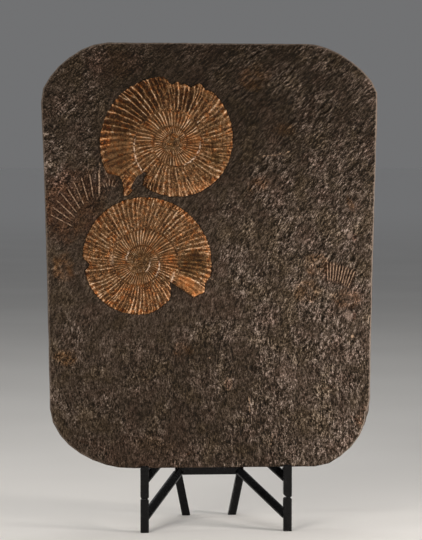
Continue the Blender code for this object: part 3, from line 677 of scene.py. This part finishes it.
def shale_surface(u, v):
    """Height of the face, and the masks that its material reads."""
    names = ("rust", "stain", "pale", "chip", "painted_light", "shade", "calm")
    masks = patch_masks(u, v, SHALE_PATCHES, names)
    painted_light, shade, calm = (masks.pop(name) for name in ("painted_light", "shade", "calm"))

    calm = unit(calm)
    for shell in AMMONITES:
        away = distance(u, v, shell.centre)
        calm = np.maximum(calm, 1.0 - smooth_step((away - 46.0) / 20.0))
    vigour = 0.65 + 0.7 * smooth_step(0.5 + 1.2 * noise_at(u / 15.0, v / 18.0, 29.0))
    corner = smooth_step((-60.0 - u) / 30.0) * smooth_step((v - 150.0) / 90.0)  # the upper left
    rough = (0.55 + 0.45 * smooth_step((u + 30.0) / 110.0)) * (1.0 - 0.55 * calm) * vigour
    rough = rough * (1.0 + 0.45 * corner)

    sway = 1.6 * speckle(u, v, 9.0, 20.0) + 0.7 * speckle(u, v, 3.5, 19.0)
    broad = streaks(u + sway, v, 10.0, 5.0, 21.0)
    fine = streaks(u + sway, v, 4.6, 2.2, 23.0) + 0.5 * streaks(u + sway, v, 2.6, 1.4, 24.0)
    flakes = noise_at(u / 13.0, v / 9.0, 25.0) + 0.35 * speckle(u, v, 3.0, 26.0)
    ledge = smooth_step((flakes - 0.12) / 0.06) - 0.5
    folds = 1.0 - 2.6 * np.abs(streaks(u + 1.5 * sway, v, 13.0, 6.5, 28.0))
    creases = 1.0 - 3.0 * np.abs(streaks(u + sway, v, 7.0, 3.4, 31.0))
    height = 0.5 * broad + 0.45 * fine + 0.22 * ledge + 0.65 * folds + 0.42 * creases
    height = shale_relief(u, v) + rough * height
    combed = np.zeros_like(u)  # how far a fan's ribs stand in for the crumples
    ribbed = np.zeros_like(u)  # above 0 on a fan's ribs, below it between them

    for fan in FANS:
        middle, radius = fan_disc(fan)
        near = distance(u, v, middle) < radius + FAN_MARGIN
        x, y = u[near], v[near]
        ribs = np.zeros_like(x)
        wide = np.zeros_like(x)
        broken = 0.75 + 0.5 * speckle(x, y, 2.4, 27.0)
        for start, end in fan_ribs(fan):
            ribs = np.maximum(ribs, broken * line_profile(x, y, start, end, fan.width))
            wide = np.maximum(wide, line_profile(x, y, start, end, 4.0 * fan.width))
        height[near] = height[near] * (1.0 - 0.7 * wide) + fan.rise * ribs - fan.sink * (wide - ribs)
        crests, grooves = unit(ribs), unit(wide - ribs)
        raise_mask(masks, "pale", fan.pale * crests, near)
        raise_mask(masks, "stain", FAN_STAIN * fan.pale * grooves, near)
        combed[near] = np.maximum(combed[near], fan.pale * wide)
        ribbed[near] += min(fan.pale, 1.0) * (FAN_CREST_TONE * crests - FAN_GROOVE_TONE * grooves)
    for vein in VEINS:
        line = line_profile(u, v, vein.start, vein.end, vein.width)
        height = height + vein.rise * line
        raise_mask(masks, "pale" if vein.pale > 0.0 else "stain", abs(vein.pale) * line)

    # How light the shale is, before its fine grain: it darkens towards the top.
    combed = unit(combed)
    rough = rough * (1.0 - 0.55 * combed)
    # It follows the relief: darker in the hollows, as painted shade, and lighter on the crests, partly
    # as worn crests and partly as painted highlight.
    tone = SHALE_TONE + 0.14 * rough * (0.65 * fine + 0.45 * broad + 0.5 * folds + 0.5 * creases)
    tone = tone - 0.14 * smooth_step((v - 150.0) / 130.0) - 0.07 * shade
    tone = tone - 0.02 * smooth_step((30.0 - u) / 130.0) - 0.038 * smooth_step((u + 40.0) / 90.0)
    # The patches on the right lighten it as painted light.
    masks["tone"] = tone + 0.05 * painted_light + 0.025 * corner + 0.07 * combed + ribbed
    masks["rough"] = rough
    masks["streaked"] = streaked(u, v)
    return height, masks


def back_relief(u, v):
    """How far the back is set in: broad flat ledges of broken layers."""
    value = noise_at(u / 60.0, v / 45.0, 7.0) + 0.03 * speckle(u, v, 6.0, 8.0)
    ledge = np.floor((value + 1.0) * 2.5) / 4.0
    grain = 0.12 * speckle(u, v, 7.0, 9.0)
    return BACK_LEDGE * unit(ledge + grain)


def side_ring(outline, ring, layer):
    """Places and depths of a ring round the plate's side, with the chipped corner taken off."""
    depth, inset, uneven = ring
    u, v = outline.T
    rough = speckle(u, v, 7.0, 60.0 + layer) + 0.5 * speckle(u, v, 2.2, 80.0 + layer)
    amount = np.maximum(0.0, inset + uneven * rough)
    chip = smooth_step(1.0 - distance(u, v, CHIPPED_CORNER) / CHIP_REACH)
    chip = chip * (0.7 + 0.9 * speckle(u, v, 3.0, 59.0))
    near_face = unit(1.0 - depth / 4.0)
    places = outline - outward(outline) * (amount + CHIP_DEPTH * chip * near_face)[:, None]
    return places, depth + CHIP_DROP * chip * near_face * (depth > 0.0)


def face_places(outline, rim, pockets):
    """The face's inner points: a lattice along the streaks, and a closer one round each fan."""
    low, high = outline.min(axis=0), outline.max(axis=0)
    loose = lattice(low, high, LATTICE_ALONG, LATTICE_ACROSS, LATTICE_ANGLE)
    for fan in FANS:
        middle, radius = fan_disc(fan)
        loose = loose[distance(*loose.T, middle) > radius]
        fine = lattice(middle - radius, middle + radius, fan.lattice, ROW_SHARE * fan.lattice)
        loose = np.vstack((loose, fine[distance(*fine.T, middle) < radius]))
    loose = loose[is_inside(loose, rim) & (distance_to_points(loose, rim) > RIM_GAP)]
    for pocket in pockets:
        loose = loose[~is_inside(loose, pocket) & (distance_to_points(loose, pocket) > SHELL_GAP)]
    return loose


def add_back(plate, outline, ring_places, ring):
    """The plate's back, inside the last ring of its side."""
    low, high = outline.min(axis=0), outline.max(axis=0)
    loose = lattice(low, high, BACK_LATTICE, ROW_SHARE * BACK_LATTICE)
    loose = loose[is_inside(loose, ring_places)]
    loose = loose[distance_to_points(loose, ring_places) > BACK_GAP]
    faces = triangulate(np.vstack((ring_places, loose)), [np.arange(len(ring_places))])
    u, v = loose.T
    tone = BACK_TONE + 0.1 * noise_at(u / 25.0, v / 18.0, 71.0)
    tone = tone + 0.06 * noise_at(u / 5.0, v / 4.0, 72.0)
    rough = np.full(len(loose), BACK_ROUGHNESS)
    inner = plate.add_points(loose, THICKNESS - back_relief(u, v), tone=tone, rough=rough)
    plate.add_faces(np.concatenate((ring, inner))[faces])


def build_plate(material, pockets):
    """The shale plate, with a pocket for each shell."""
    outline = plate_outline()
    rings = [side_ring(outline, ring, layer) for layer, ring in enumerate(SIDE_RINGS)]
    rim = rings[0][0]
    places = np.vstack((rim, *pockets, face_places(outline, rim, pockets)))
    sizes = np.cumsum([0, len(rim)] + [len(pocket) for pocket in pockets])
    loops = [np.arange(first, last) for first, last in zip(sizes, sizes[1:])]
    faces = triangulate(places, loops)
    centres = places[faces].mean(axis=1)
    for pocket in pockets:
        keep = ~is_inside(centres, pocket)
        faces, centres = faces[keep], centres[keep]

    u, v = places.T
    height, masks = shale_surface(u, v)
    near_rim = distance_to_points(places, rim)
    height *= 0.25 + 0.75 * smooth_step(near_rim / FLAT_RIM)
    for pocket in pockets:
        height *= smooth_step(distance_to_points(places, pocket) / FLAT_SEAM + 0.1)
    # A pale line along the face's edge, kept off the foot and stronger on the right: painted highlight.
    masks["edge"] = (1.0 - smooth_step(near_rim / EDGE_HIGHLIGHT_WIDTH)) * smooth_step((v - 2.0) / 8.0)
    masks["edge"] *= 1.0 + 0.7 * smooth_step((u - 90.0) / 15.0)

    plate = Solid()
    front = plate.add_points(places, -height, **masks)
    plate.add_faces(faces)
    for pocket, loop in zip(pockets, loops[1:]):
        floor = plate.add_points(pocket, POCKET_DEPTH)
        plate.add_wall(front[loop], floor)
        plate.faces.append(floor.tolist())

    upper = front[loops[0]]
    for ring_places, depth in rings[1:]:
        # The side is pale except at the foot: painted highlight.
        edge = SIDE_HIGHLIGHT * smooth_step((ring_places[:, 1] - 2.0) / 8.0)
        lower = plate.add_points(ring_places, depth, edge=edge, tone=np.full(len(edge), SIDE_TONE))
        plate.add_wall(upper, lower)
        upper = lower
    add_back(plate, outline, rings[-1][0], upper)
    return plate.make("shale_plate", material, "matrix_slab")


# ---------------- the ammonites' shapes
def seam_radius(shell, back):
    """Radius of the seam that winds in from the end. back is in degrees from the end."""
    return shell.seam * shell.seam_ratio ** (back / 360.0)


def edge_radius(shell, back):
    """Outer radius of the outer whorl, with the chips and the ends of the ribs."""
    steps = EDGE_ANGLE_STEP * np.arange(len(shell.edge))
    radius = np.interp(back, steps, shell.edge)
    for middle, half_width, depth in shell.bites:
        radius = radius - depth * smooth_step(1.0 - np.abs(back - middle) / half_width)
    crests, _ = rib_profile(shell, back, np.ones_like(back), np.zeros_like(back))
    ragged = 0.35 * noise_at(np.radians(back) * 9.0, np.full_like(back, shell.seed), 50.0)
    return radius + 0.35 * (crests - 0.6) + ragged


def hidden_edge(back):
    """Outer radius of an inner whorl, most of it under the whorl that grew over it."""
    return COVERED_EDGE * COVERED_RATIO ** ((back - 360.0) / 360.0)


def rib_phase(shell, back):
    """Number of ribs between the end and a place."""
    degrees = np.arange(0.0, 360.0 * (len(shell.ribs) - 1) + 1.0)
    density = np.interp(degrees, 360.0 * np.arange(len(shell.ribs)), shell.ribs) / 360.0
    return np.interp(back, degrees, np.concatenate(((0.0,), np.cumsum(density[:-1]))))


def rib_profile(shell, back, across, worn, sway=0.0):
    """Ribs from 0 in the grooves to 1 on a crest, and the same with a finer crest.

    sway moves them sideways, as a share of their spacing.
    """
    table = np.random.default_rng(shell.seed)
    offset = table.uniform(-0.13, 0.13, RIB_TABLE)
    tall = table.uniform(0.45, 1.0, RIB_TABLE)
    forks = table.random(RIB_TABLE) < shell.forked
    fork_place = table.uniform(0.35, 0.7, RIB_TABLE)

    phase = rib_phase(shell, back) + RIB_SWEEP * across**2 + sway
    index = np.rint(phase).astype(int)
    away = np.abs(phase - index - offset[index])
    fork = forks[index] * smooth_step((across - fork_place[index]) / 0.3)
    away = np.abs(away - FORK_SPREAD * fork)
    width = RIB_WIDTH * (1.0 - 0.42 * fork)
    crest = np.exp(-((away / width) ** 2) * 1.6)
    line = np.exp(-((away / (0.45 * width)) ** 2) * 1.6)
    return crest * tall[index] * (1.0 - worn), line * tall[index] * (1.0 - worn)


def shell_surface(shell, places, back, across, radius):
    """Height of the shell, and the masks that its material reads.

    back is in degrees from the end, and across runs from 0 at a whorl's seam to 1 at its edge.
    """
    u, v = places.T
    names = ("bare", "worn", "plain", "rust", "light", "pale", "dark", "gone")
    masks = patch_masks(u, v, shell.patches, names)
    bare, worn, plain = (unit(masks.pop(name)) for name in ("bare", "worn", "plain"))
    light, dark = masks.pop("light"), unit(masks["dark"])
    turns = back / 360.0
    sway = 0.14 * speckle(u, v, 9.0, 45.0) + 0.07 * speckle(u, v, 1.6, 46.0)
    ribs, lines = rib_profile(shell, back, across, 0.75 * worn, sway)

    seam = SEAM_HEIGHT * SEAM_HEIGHT_RATIO**turns
    dome = 1.0 - np.abs(2.0 * across - 1.0) ** DOME_POWER
    height = seam + (SHELL_EDGE_HEIGHT - seam) * across
    height = height + DOME_HEIGHT * DOME_RATIO**turns * dome * (1.0 - 0.15 * across)

    spacing = 2.0 * math.pi * radius / np.interp(turns, np.arange(len(shell.ribs)), shell.ribs)
    fade = smooth_step(across / 0.1) * (1.0 - 0.35 * smooth_step((across - 0.8) / 0.2))
    chipped = 0.8 + 0.45 * speckle(u, v, 2.6, 51.0) + 0.2 * speckle(u, v, 0.9, 52.0)
    rib_height = RIB_HEIGHT * spacing * fade * (0.7 + 0.3 * chipped)
    height = height + rib_height * (ribs - 0.4)
    height = height - 0.9 * bare * fade * (1.0 - unit(1.3 * lines)) * (across > 0.02)
    height = height + 0.22 * speckle(u, v, 11.0, 53.0)
    height = height + 0.16 * speckle(u, v, 2.1, 54.0) + 0.1 * speckle(u, v, 0.9, 55.0)

    gone = smooth_step(2.0 * masks["gone"] - 0.5)
    height = height + (0.1 + 0.4 * speckle(u, v, 2.5, 59.5) - height) * gone

    # How light the shell is, before its fine grain.
    inner = smooth_step((turns - 0.95) / 0.25)
    broken = 1.5 * speckle(u, v, 3.2, 57.0) + 1.1 * speckle(u, v, 1.2, 58.0)
    broken = np.clip(0.6 + 0.3 * inner + (1.0 - 0.5 * inner) * broken, 0.0, 1.2)
    _, all_lines = rib_profile(shell, back, across, 0.0, sway + 0.5)
    tone = SHELL_TONE + 0.16 * speckle(u, v, 6.0, 61.0)
    tone = tone + (0.2 - 0.12 * np.maximum(inner, worn)) * speckle(u, v, 1.8, 62.0)
    core = smooth_step((turns - 2.1) / 0.6)  # the shell's middle
    masks["smooth"] = np.maximum(0.8 * inner * (1.0 - core), worn)
    tone = tone + (1.0 - 0.55 * plain) * fade * (0.3 * (ribs - 0.35) + 0.42 * lines * broken)
    tone = tone - 0.2 * bare * (1.0 - unit(1.5 * lines)) - 0.16 * dark
    near_seam = np.exp(-((radius - seam_radius(shell, back) - 0.3) / 0.5) ** 2)
    near_seam = near_seam * (1.0 - smooth_step((back - 480.0) / 300.0))
    tone = tone - 0.14 * near_seam + 0.22 * light - 0.2 * worn * all_lines * (turns < 1.0)
    tone = tone + 0.05 * worn * (1.0 - dark) * (turns < 1.0)
    rim = smooth_step((across - 0.8) / 0.15) * (back < 360.0)
    beaded = speckle(u, v, 2.6, 65.0)
    tone = tone + rim * (0.3 * beaded + 0.2 * (ribs - 0.3) + 0.05)
    masks["tone"] = unit(tone)
    raise_mask(masks, "rust", shell.rim_rust * rim * (0.7 - beaded))
    wander = 0.5 * speckle(u, v, 2.0, 63.0)
    on_seam = np.exp(-((radius - seam_radius(shell, back) - wander) / 0.75) ** 2)
    beads = unit(0.75 + 1.2 * speckle(u, v, 2.4, 56.0) + 0.9 * speckle(u, v, 0.9, 64.0))
    for first, last in shell.pale_seams:
        stretch = smooth_step((back - first) / 12.0) * smooth_step((last - back) / 12.0)
        raise_mask(masks, "pale", 1.5 * on_seam * stretch * beads)
    return height, masks


def shell_lattice(shell):
    """Points of a shell from the outside in: places, degrees back from the end, places across, radii.

    Also returns the numbers of the outline's points and of the seam's.
    """
    backs, acrosses, radii = [], [], []
    columns = WHORL_LATTICE[0][0]

    # The outline: once round the edge, then out along the broken end.
    back = 360.0 * np.arange(columns) / columns
    edge = edge_radius(shell, back)
    steps = round((edge[0] - edge[-1]) / END_STEP)
    out = np.arange(1, steps) / steps
    backs += [back, np.full(steps - 1, back[-1])]
    acrosses += [np.ones(columns + steps - 1)]
    radii += [edge, edge[-1] + (edge[0] - edge[-1]) * out]
    outline = np.arange(columns + steps - 1)

    seam = []
    count = len(outline)
    for whorl, (columns, rows) in enumerate(WHORL_LATTICE):
        back = 360.0 * (whorl + np.arange(columns) / columns)
        inner = seam_radius(shell, back)
        if whorl:
            shown, full = seam_radius(shell, back - 360.0), hidden_edge(back)
        else:
            shown = full = edge_radius(shell, back)
        share = np.arange(rows) / rows
        share = share + 0.05 * np.sin(2.0 * math.pi * share)  # closer rows at both sides
        for row, part in enumerate(share):
            radius = inner + (shown - inner) * part
            backs.append(back)
            acrosses.append((radius - inner) / (full - inner))
            radii.append(radius)
            if row == 0:
                seam.append(np.arange(count, count + columns))
            count += columns

    turn = 360.0 * len(WHORL_LATTICE)
    for step in range(CORE_STEPS):
        points = CORE_POINTS - CORE_FEWER * step
        around = np.arange(points) * 360.0 / points
        backs.append(turn + around)
        acrosses.append(np.zeros_like(around))
        radii.append(seam_radius(shell, turn + around) * (0.75 - 0.25 * step))
    back, across, radius = (np.concatenate(part) for part in (backs, acrosses, radii))
    places = polar(shell.centre, shell.end_angle - shell.growth * back, radius)
    return places, back, across, radius, outline, np.concatenate(seam)


def shell_outline(shell):
    """The shell's outline, counter-clockwise."""
    places, _, _, _, outline, _ = shell_lattice(shell)
    loop = places[outline]
    return loop if shell.growth < 0 else loop[::-1]


def build_shell(shell, material, node):
    """One ammonite, ribbed above the shale and flat in its pocket."""
    places, back, across, radius, outline, seam = shell_lattice(shell)
    if shell.growth > 0:
        outline = outline[::-1]
    faces = triangulate(places, [outline], [seam])
    height, masks = shell_surface(shell, places, back, across, radius)
    solid = Solid()
    top = solid.add_points(places, -height, **masks)
    solid.add_faces(faces)
    bottom = solid.add_points(places[outline], SHELL_DEPTH)
    solid.add_wall(top[outline], bottom)
    solid.faces.append(bottom.tolist())
    return solid.make(shell.name, material, node)


# ---------------- materials
class Finish:
    """A Principled material and its nodes."""

    def __init__(self, name, colour):
        self.material = bpy.data.materials.new(name)
        self.material.use_nodes = True
        self.material.diffuse_color = (*colour, 1.0)
        self.nodes = self.material.node_tree.nodes
        self.links = self.material.node_tree.links
        self.shader = self.nodes["Principled BSDF"]

    def add(self, kind, inputs=(), **settings):
        """A node with its settings, and inputs that are numbers, colours or other nodes' outputs."""
        node = self.nodes.new(kind)
        for key, value in settings.items():
            setattr(node, key, value)
        for key, value in dict(inputs).items():
            self.set(node.inputs[key], value)
        return node

    def set(self, socket, value):
        if isinstance(value, bpy.types.NodeSocket):
            self.links.new(value, socket)
        elif isinstance(value, tuple) and len(value) == 3 and socket.type == "RGBA":
            socket.default_value = (*value, 1.0)
        else:
            socket.default_value = value

    def mask(self, name):
        """A mask of the mesh."""
        return self.add("ShaderNodeAttribute", attribute_name=name).outputs["Fac"]

    def place(self):
        return self.add("ShaderNodeTexCoord").outputs["Object"]

    def leaning_place(self):
        """The place bent so that upright streaks follow the shale's, as in streaks()."""
        parts = self.add("ShaderNodeSeparateXYZ", {0: self.place()}).outputs
        above = self.math("SUBTRACT", parts["Z"], (PLATE_FOOT + STREAK_FOOT) * MM)
        lean = self.math("POWER", self.math("MAXIMUM", above, 0.0), 2.0)
        across = self.math("SUBTRACT", parts["X"], self.times(lean, STREAK_LEAN / MM))
        inputs = {"X": across, "Y": parts["Y"], "Z": parts["Z"]}
        return self.add("ShaderNodeCombineXYZ", inputs).outputs[0]

    def noise(self, size, detail=2.0, place=None, tall=1.0, shift=0.0):
        """Noise with features of a size in mm, drawn out upwards to be tall times that."""
        mapped = self.add("ShaderNodeMapping", {"Vector": place or self.place()}, vector_type="TEXTURE")
        mapped.inputs["Scale"].default_value = (size * MM, size * MM, size * tall * MM)
        mapped.inputs["Location"].default_value = (shift, shift, shift)
        inputs = {"Vector": mapped.outputs[0], "Scale": 1.0, "Detail": detail}
        return self.add("ShaderNodeTexNoise", inputs).outputs["Fac"]

    def around(self, value, gain, middle=0.5):
        """How far a value is from a middle, times a gain."""
        return self.times(self.math("SUBTRACT", value, middle), gain)

    def total(self, first, *others):
        for other in others:
            first = self.math("ADD", first, other)
        return first

    def flecked(self, mask, *noises):
        """A mask broken up by noises: nearly whole where it is 1, and only flecks where it is low."""
        noise = self.total(0.9, *(self.around(value, 2.6) for value in noises))
        return self.math("SUBTRACT", self.times(mask, noise), 0.2, clamp=True)

    def between(self, share, first, second):
        """One value where share is 0 and another where it is 1."""
        return self.total(first, self.times(share, self.math("SUBTRACT", second, first)))

    def ramp(self, value, stops):
        """Colours at even steps from 0 to 1."""
        node = self.add("ShaderNodeValToRGB", {"Fac": value})
        points = node.color_ramp.elements
        while len(points) < len(stops):
            points.new(0.5)
        for number, colour in enumerate(stops):
            points[number].position = number / (len(stops) - 1)
            points[number].color = (*colour, 1.0)
        return node.outputs["Color"]

    def math(self, operation, first, second=0.0, clamp=False):
        node = self.add("ShaderNodeMath", operation=operation, use_clamp=clamp)
        self.set(node.inputs[0], first)
        self.set(node.inputs[1], second)
        return node.outputs[0]

    def times(self, first, second, clamp=False):
        return self.math("MULTIPLY", first, second, clamp)

    def span(self, value, low, high, to_low=0.0, to_high=1.0):
        """A value between low and high taken smoothly to another range."""
        names = ("Value", "From Min", "From Max", "To Min", "To Max")
        inputs = zip(names, (value, low, high, to_low, to_high))
        node = self.add("ShaderNodeMapRange", inputs, interpolation_type="SMOOTHSTEP")
        return node.outputs["Result"]

    def mix(self, share, first, second, blend="MIX"):
        """One colour where share is 0 and another where it is 1."""
        node = self.add("ShaderNodeMix", data_type="RGBA", blend_type=blend)
        for number, value in ((0, share), (6, first), (7, second)):
            self.set(node.inputs[number], value)
        return node.outputs[2]

    def tint(self, share, colour, factor):
        """A colour, multiplied by a factor where share is 1."""
        return self.mix(share, colour, factor, "MULTIPLY")

    def bump(self, layers):
        """Bumps of (height, how high it stands in mm), one on the other."""
        normal = None
        for height, rise in layers:
            inputs = {"Height": height, "Distance": rise * MM, "Strength": 1.0}
            node = self.add("ShaderNodeBump", inputs)
            if normal:
                self.links.new(normal, node.inputs["Normal"])
            normal = node.outputs["Normal"]
        self.links.new(normal, self.shader.inputs["Normal"])

    def finish(self, colour, roughness, specular=0.5):
        self.set(self.shader.inputs["Base Color"], colour)
        self.set(self.shader.inputs["Roughness"], roughness)
        self.shader.inputs["Specular IOR Level"].default_value = specular
        return self.material


def shale_material():
    """Split black shale: brown-black, crumpled and flecked, with rust, painted light on its right, and
    painted highlights on its edge and ridges.
    """
    shale = Finish("shale_looks", (0.06, 0.05, 0.042))
    along = shale.leaning_place()
    streak = shale.noise(0.95, 3.0, along, 2.1)
    coarse = shale.noise(2.6, 2.0, along, 1.9, 0.4)
    round_streak = shale.noise(1.25, 3.0, shift=0.9)
    crease = shale.noise(2.1, 1.0, along, 2.0, 0.2)
    hue = shale.noise(17.0, 3.0, shift=0.7)
    grain = shale.noise(0.62, 2.0)
    cloud = shale.noise(26.0, 3.0)
    rough = shale.mask("rough")

    streak = shale.between(shale.mask("streaked"), round_streak, streak)
    # Thin bright lines along the crumples' ridges: painted highlight.
    line = shale.math("ABSOLUTE", shale.around(crease, 7.0))
    line = shale.math("SUBTRACT", 1.0, line, clamp=True)
    texture = shale.total(
        shale.around(streak, 1.55),
        shale.around(grain, 1.35),
        shale.around(coarse, 0.9),
        shale.around(line, 0.26, 0.3),
    )
    tone = shale.total(
        shale.times(texture, shale.span(rough, 0.2, 1.2, 0.6, 1.3)),
        shale.around(cloud, 0.2),
        shale.mask("tone"),
    )
    colour = shale.ramp(tone, SHALE_TONES)
    colour = shale.tint(shale.span(hue, 0.48, 0.68), colour, (1.06, 0.99, 0.98))
    colour = shale.tint(shale.span(hue, 0.52, 0.32), colour, (1.02, 1.0, 0.88))
    colour = shale.tint(shale.times(shale.mask("stain"), 0.8), colour, (0.85, 0.55, 0.45))
    spots = shale.span(shale.noise(6.0, 3.0, shift=0.3), 0.35, 0.65, 0.25, 1.0)
    rust = shale.times(shale.mask("rust"), spots)
    colour = shale.tint(rust, colour, (1.9, 1.28, 0.68))
    pale = shale.flecked(shale.mask("pale"), streak, grain)
    colour = shale.mix(pale, colour, (0.27, 0.182, 0.122))
    chip_grain = shale.total(shale.around(grain, 2.4), 0.85)
    chip = shale.times(shale.mask("chip"), chip_grain, clamp=True)
    colour = shale.mix(chip, colour, (0.185, 0.135, 0.108))
    # The pale line round the plate's edge and side: painted highlight.
    colour = shale.mix(shale.times(shale.mask("edge"), 0.6), colour, (0.155, 0.124, 0.101))
    shale.bump(((coarse, 0.9), (streak, 0.5), (grain, 0.1)))
    return shale.finish(colour, shale.span(grain, 0.3, 0.7, 0.5, 0.72), 0.05)


def shell_material():
    """Ammonite shell in brown calcite: pale crests, dark grooves and rust."""
    shell = Finish("shell_looks", (0.28, 0.15, 0.065))
    grain = shell.noise(0.62, 2.0)
    speck = shell.noise(1.5, 2.0, shift=0.2)
    cloud = shell.noise(7.0, 3.0)
    texture = shell.total(shell.around(grain, 1.6), shell.around(speck, 0.6))
    texture = shell.times(texture, shell.span(shell.mask("smooth"), 0.0, 1.0, 1.0, 0.5))
    tone = shell.total(shell.mask("tone"), texture)
    colour = shell.ramp(tone, SHELL_TONES)
    hue = shell.noise(3.2, 2.0, shift=0.6)
    colour = shell.tint(shell.span(hue, 0.52, 0.7), colour, (1.3, 0.96, 0.66))
    colour = shell.tint(shell.span(hue, 0.48, 0.3), colour, (0.86, 0.95, 1.02))
    spots = shell.span(cloud, 0.35, 0.6, 0.3, 1.0)
    rust = shell.times(shell.mask("rust"), spots, clamp=True)
    colour = shell.tint(rust, colour, (1.4, 0.98, 0.6))
    colour = shell.tint(shell.mask("dark"), colour, (0.78, 0.88, 0.84))
    pale = shell.flecked(shell.mask("pale"), speck, grain)
    colour = shell.mix(pale, colour, (0.47, 0.335, 0.24))
    bed = shell.total(shell.around(grain, 1.0), shell.around(speck, 1.2), 0.36)
    bed = shell.ramp(bed, SHALE_TONES)  # the shale that shows where the shell is gone
    colour = shell.mix(shell.span(shell.mask("gone"), 0.25, 0.75), colour, bed)
    shell.bump(((speck, 0.3), (grain, 0.15)))
    return shell.finish(colour, shell.span(grain, 0.3, 0.7, 0.45, 0.65), 0.06)


def steel_material():
    """Square bar under glossy black paint."""
    steel = Finish("steel_looks", (0.012, 0.012, 0.013))
    ripple = steel.noise(3.0, 2.0)
    grain = steel.noise(0.6, 2.0)
    colour = steel.mix(steel.span(grain, 0.4, 0.7), (0.0016, 0.0016, 0.0018), (0.004, 0.0038, 0.0036))
    steel.bump(((ripple, 0.12), (grain, 0.03)))
    return steel.finish(colour, steel.span(ripple, 0.3, 0.7, 0.16, 0.3), 0.14)


def floor_material():
    floor = Finish("floor_looks", (0.8, 0.8, 0.8))
    cloud = floor.noise(300.0, 2.0)
    colour = floor.mix(floor.span(cloud, 0.3, 0.7), (0.74, 0.73, 0.71), (0.78, 0.77, 0.75))
    away = floor.add("ShaderNodeVectorMath", {0: floor.place()}, operation="LENGTH").outputs["Value"]
    colour = floor.mix(floor.span(away, FLOOR_NEAR, FLOOR_FAR), colour, (0.96, 0.96, 0.96))
    return floor.finish(colour, 0.9)


# ---------------- the studio
def add_floor(material):
    """A pale floor that runs out of sight."""
    turns = 2.0 * np.pi * np.arange(FLOOR_SIDES) / FLOOR_SIDES
    verts = [(math.cos(turn) * FLOOR_REACH, math.sin(turn) * FLOOR_REACH, 0.0) for turn in turns]
    mesh = bpy.data.meshes.new("floor")
    mesh.from_pydata(verts, [], [tuple(range(FLOOR_SIDES))])
    mesh.materials.append(material)
    floor = bpy.data.objects.new("floor", mesh)
    bpy.context.collection.objects.link(floor)


def aim(thing, place, target):
    """Puts a camera or a light at a place, turned towards a target."""
    thing.location = place
    thing.rotation_euler = (target - place).to_track_quat("-Z", "Y").to_euler()
    bpy.context.collection.objects.link(thing)


def add_camera():
    camera = bpy.data.cameras.new("camera")
    camera.lens = LENS
    camera.sensor_width = SENSOR
    camera.clip_end = 100.0
    target = plate_matrix() @ Vector((VIEW_CENTRE[0], 0.0, VIEW_CENTRE[1]))
    turn, rise = math.radians(VIEW_TURN), math.radians(VIEW_RISE)
    level = math.cos(rise)
    towards = Vector((-math.sin(turn) * level, -math.cos(turn) * level, math.sin(rise)))
    thing = bpy.data.objects.new("camera", camera)
    aim(thing, target + towards * VIEW_DISTANCE * MM, target)
    bpy.context.scene.camera = thing


def add_lights():
    for name, place, width, height, power, colour in LIGHTS:
        light = bpy.data.lights.new(name, "AREA")
        light.shape = "RECTANGLE"
        light.size = width * MM
        light.size_y = height * MM
        light.energy = power
        if name != "top_light":
            light.spread = math.radians(LIGHT_SPREAD)
        light.color = colour
        thing = bpy.data.objects.new(name, light)
        thing.visible_camera = False  # no view shows the light itself
        aim(thing, Vector(place) * MM, Vector(LIGHT_AIM) * MM)
    world = bpy.data.worlds.new("studio")
    world.use_nodes = True
    background = world.node_tree.nodes["Background"]
    background.inputs["Color"].default_value = (*WORLD_COLOUR, 1.0)
    background.inputs["Strength"].default_value = WORLD_STRENGTH
    bpy.context.scene.world = world
    bpy.context.scene.view_settings.view_transform = "Standard"


def main():
    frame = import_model()
    add_camera()
    add_lights()
    add_floor(floor_material())

    shell_finish = shell_material()
    for shell, node in zip(AMMONITES, ("upper_ammonite", "lower_ammonite")):
        build_shell(shell, shell_finish, node)
    pockets = []
    for shell in AMMONITES:
        loop = shell_outline(shell)
        pockets.append(loop + outward(loop) * POCKET_GAP)
    build_plate(shale_material(), pockets)

    steel = steel_material()
    for name, node in frame["nodes"].items():
        if name in ("matrix_slab", "upper_ammonite", "lower_ammonite"):
            continue
        node.material_slots[0].material = steel
        soften = node.modifiers.new("soft_edges", "BEVEL")
        soften.width = STEEL_CORNER * MM
        soften.segments = 2


main()
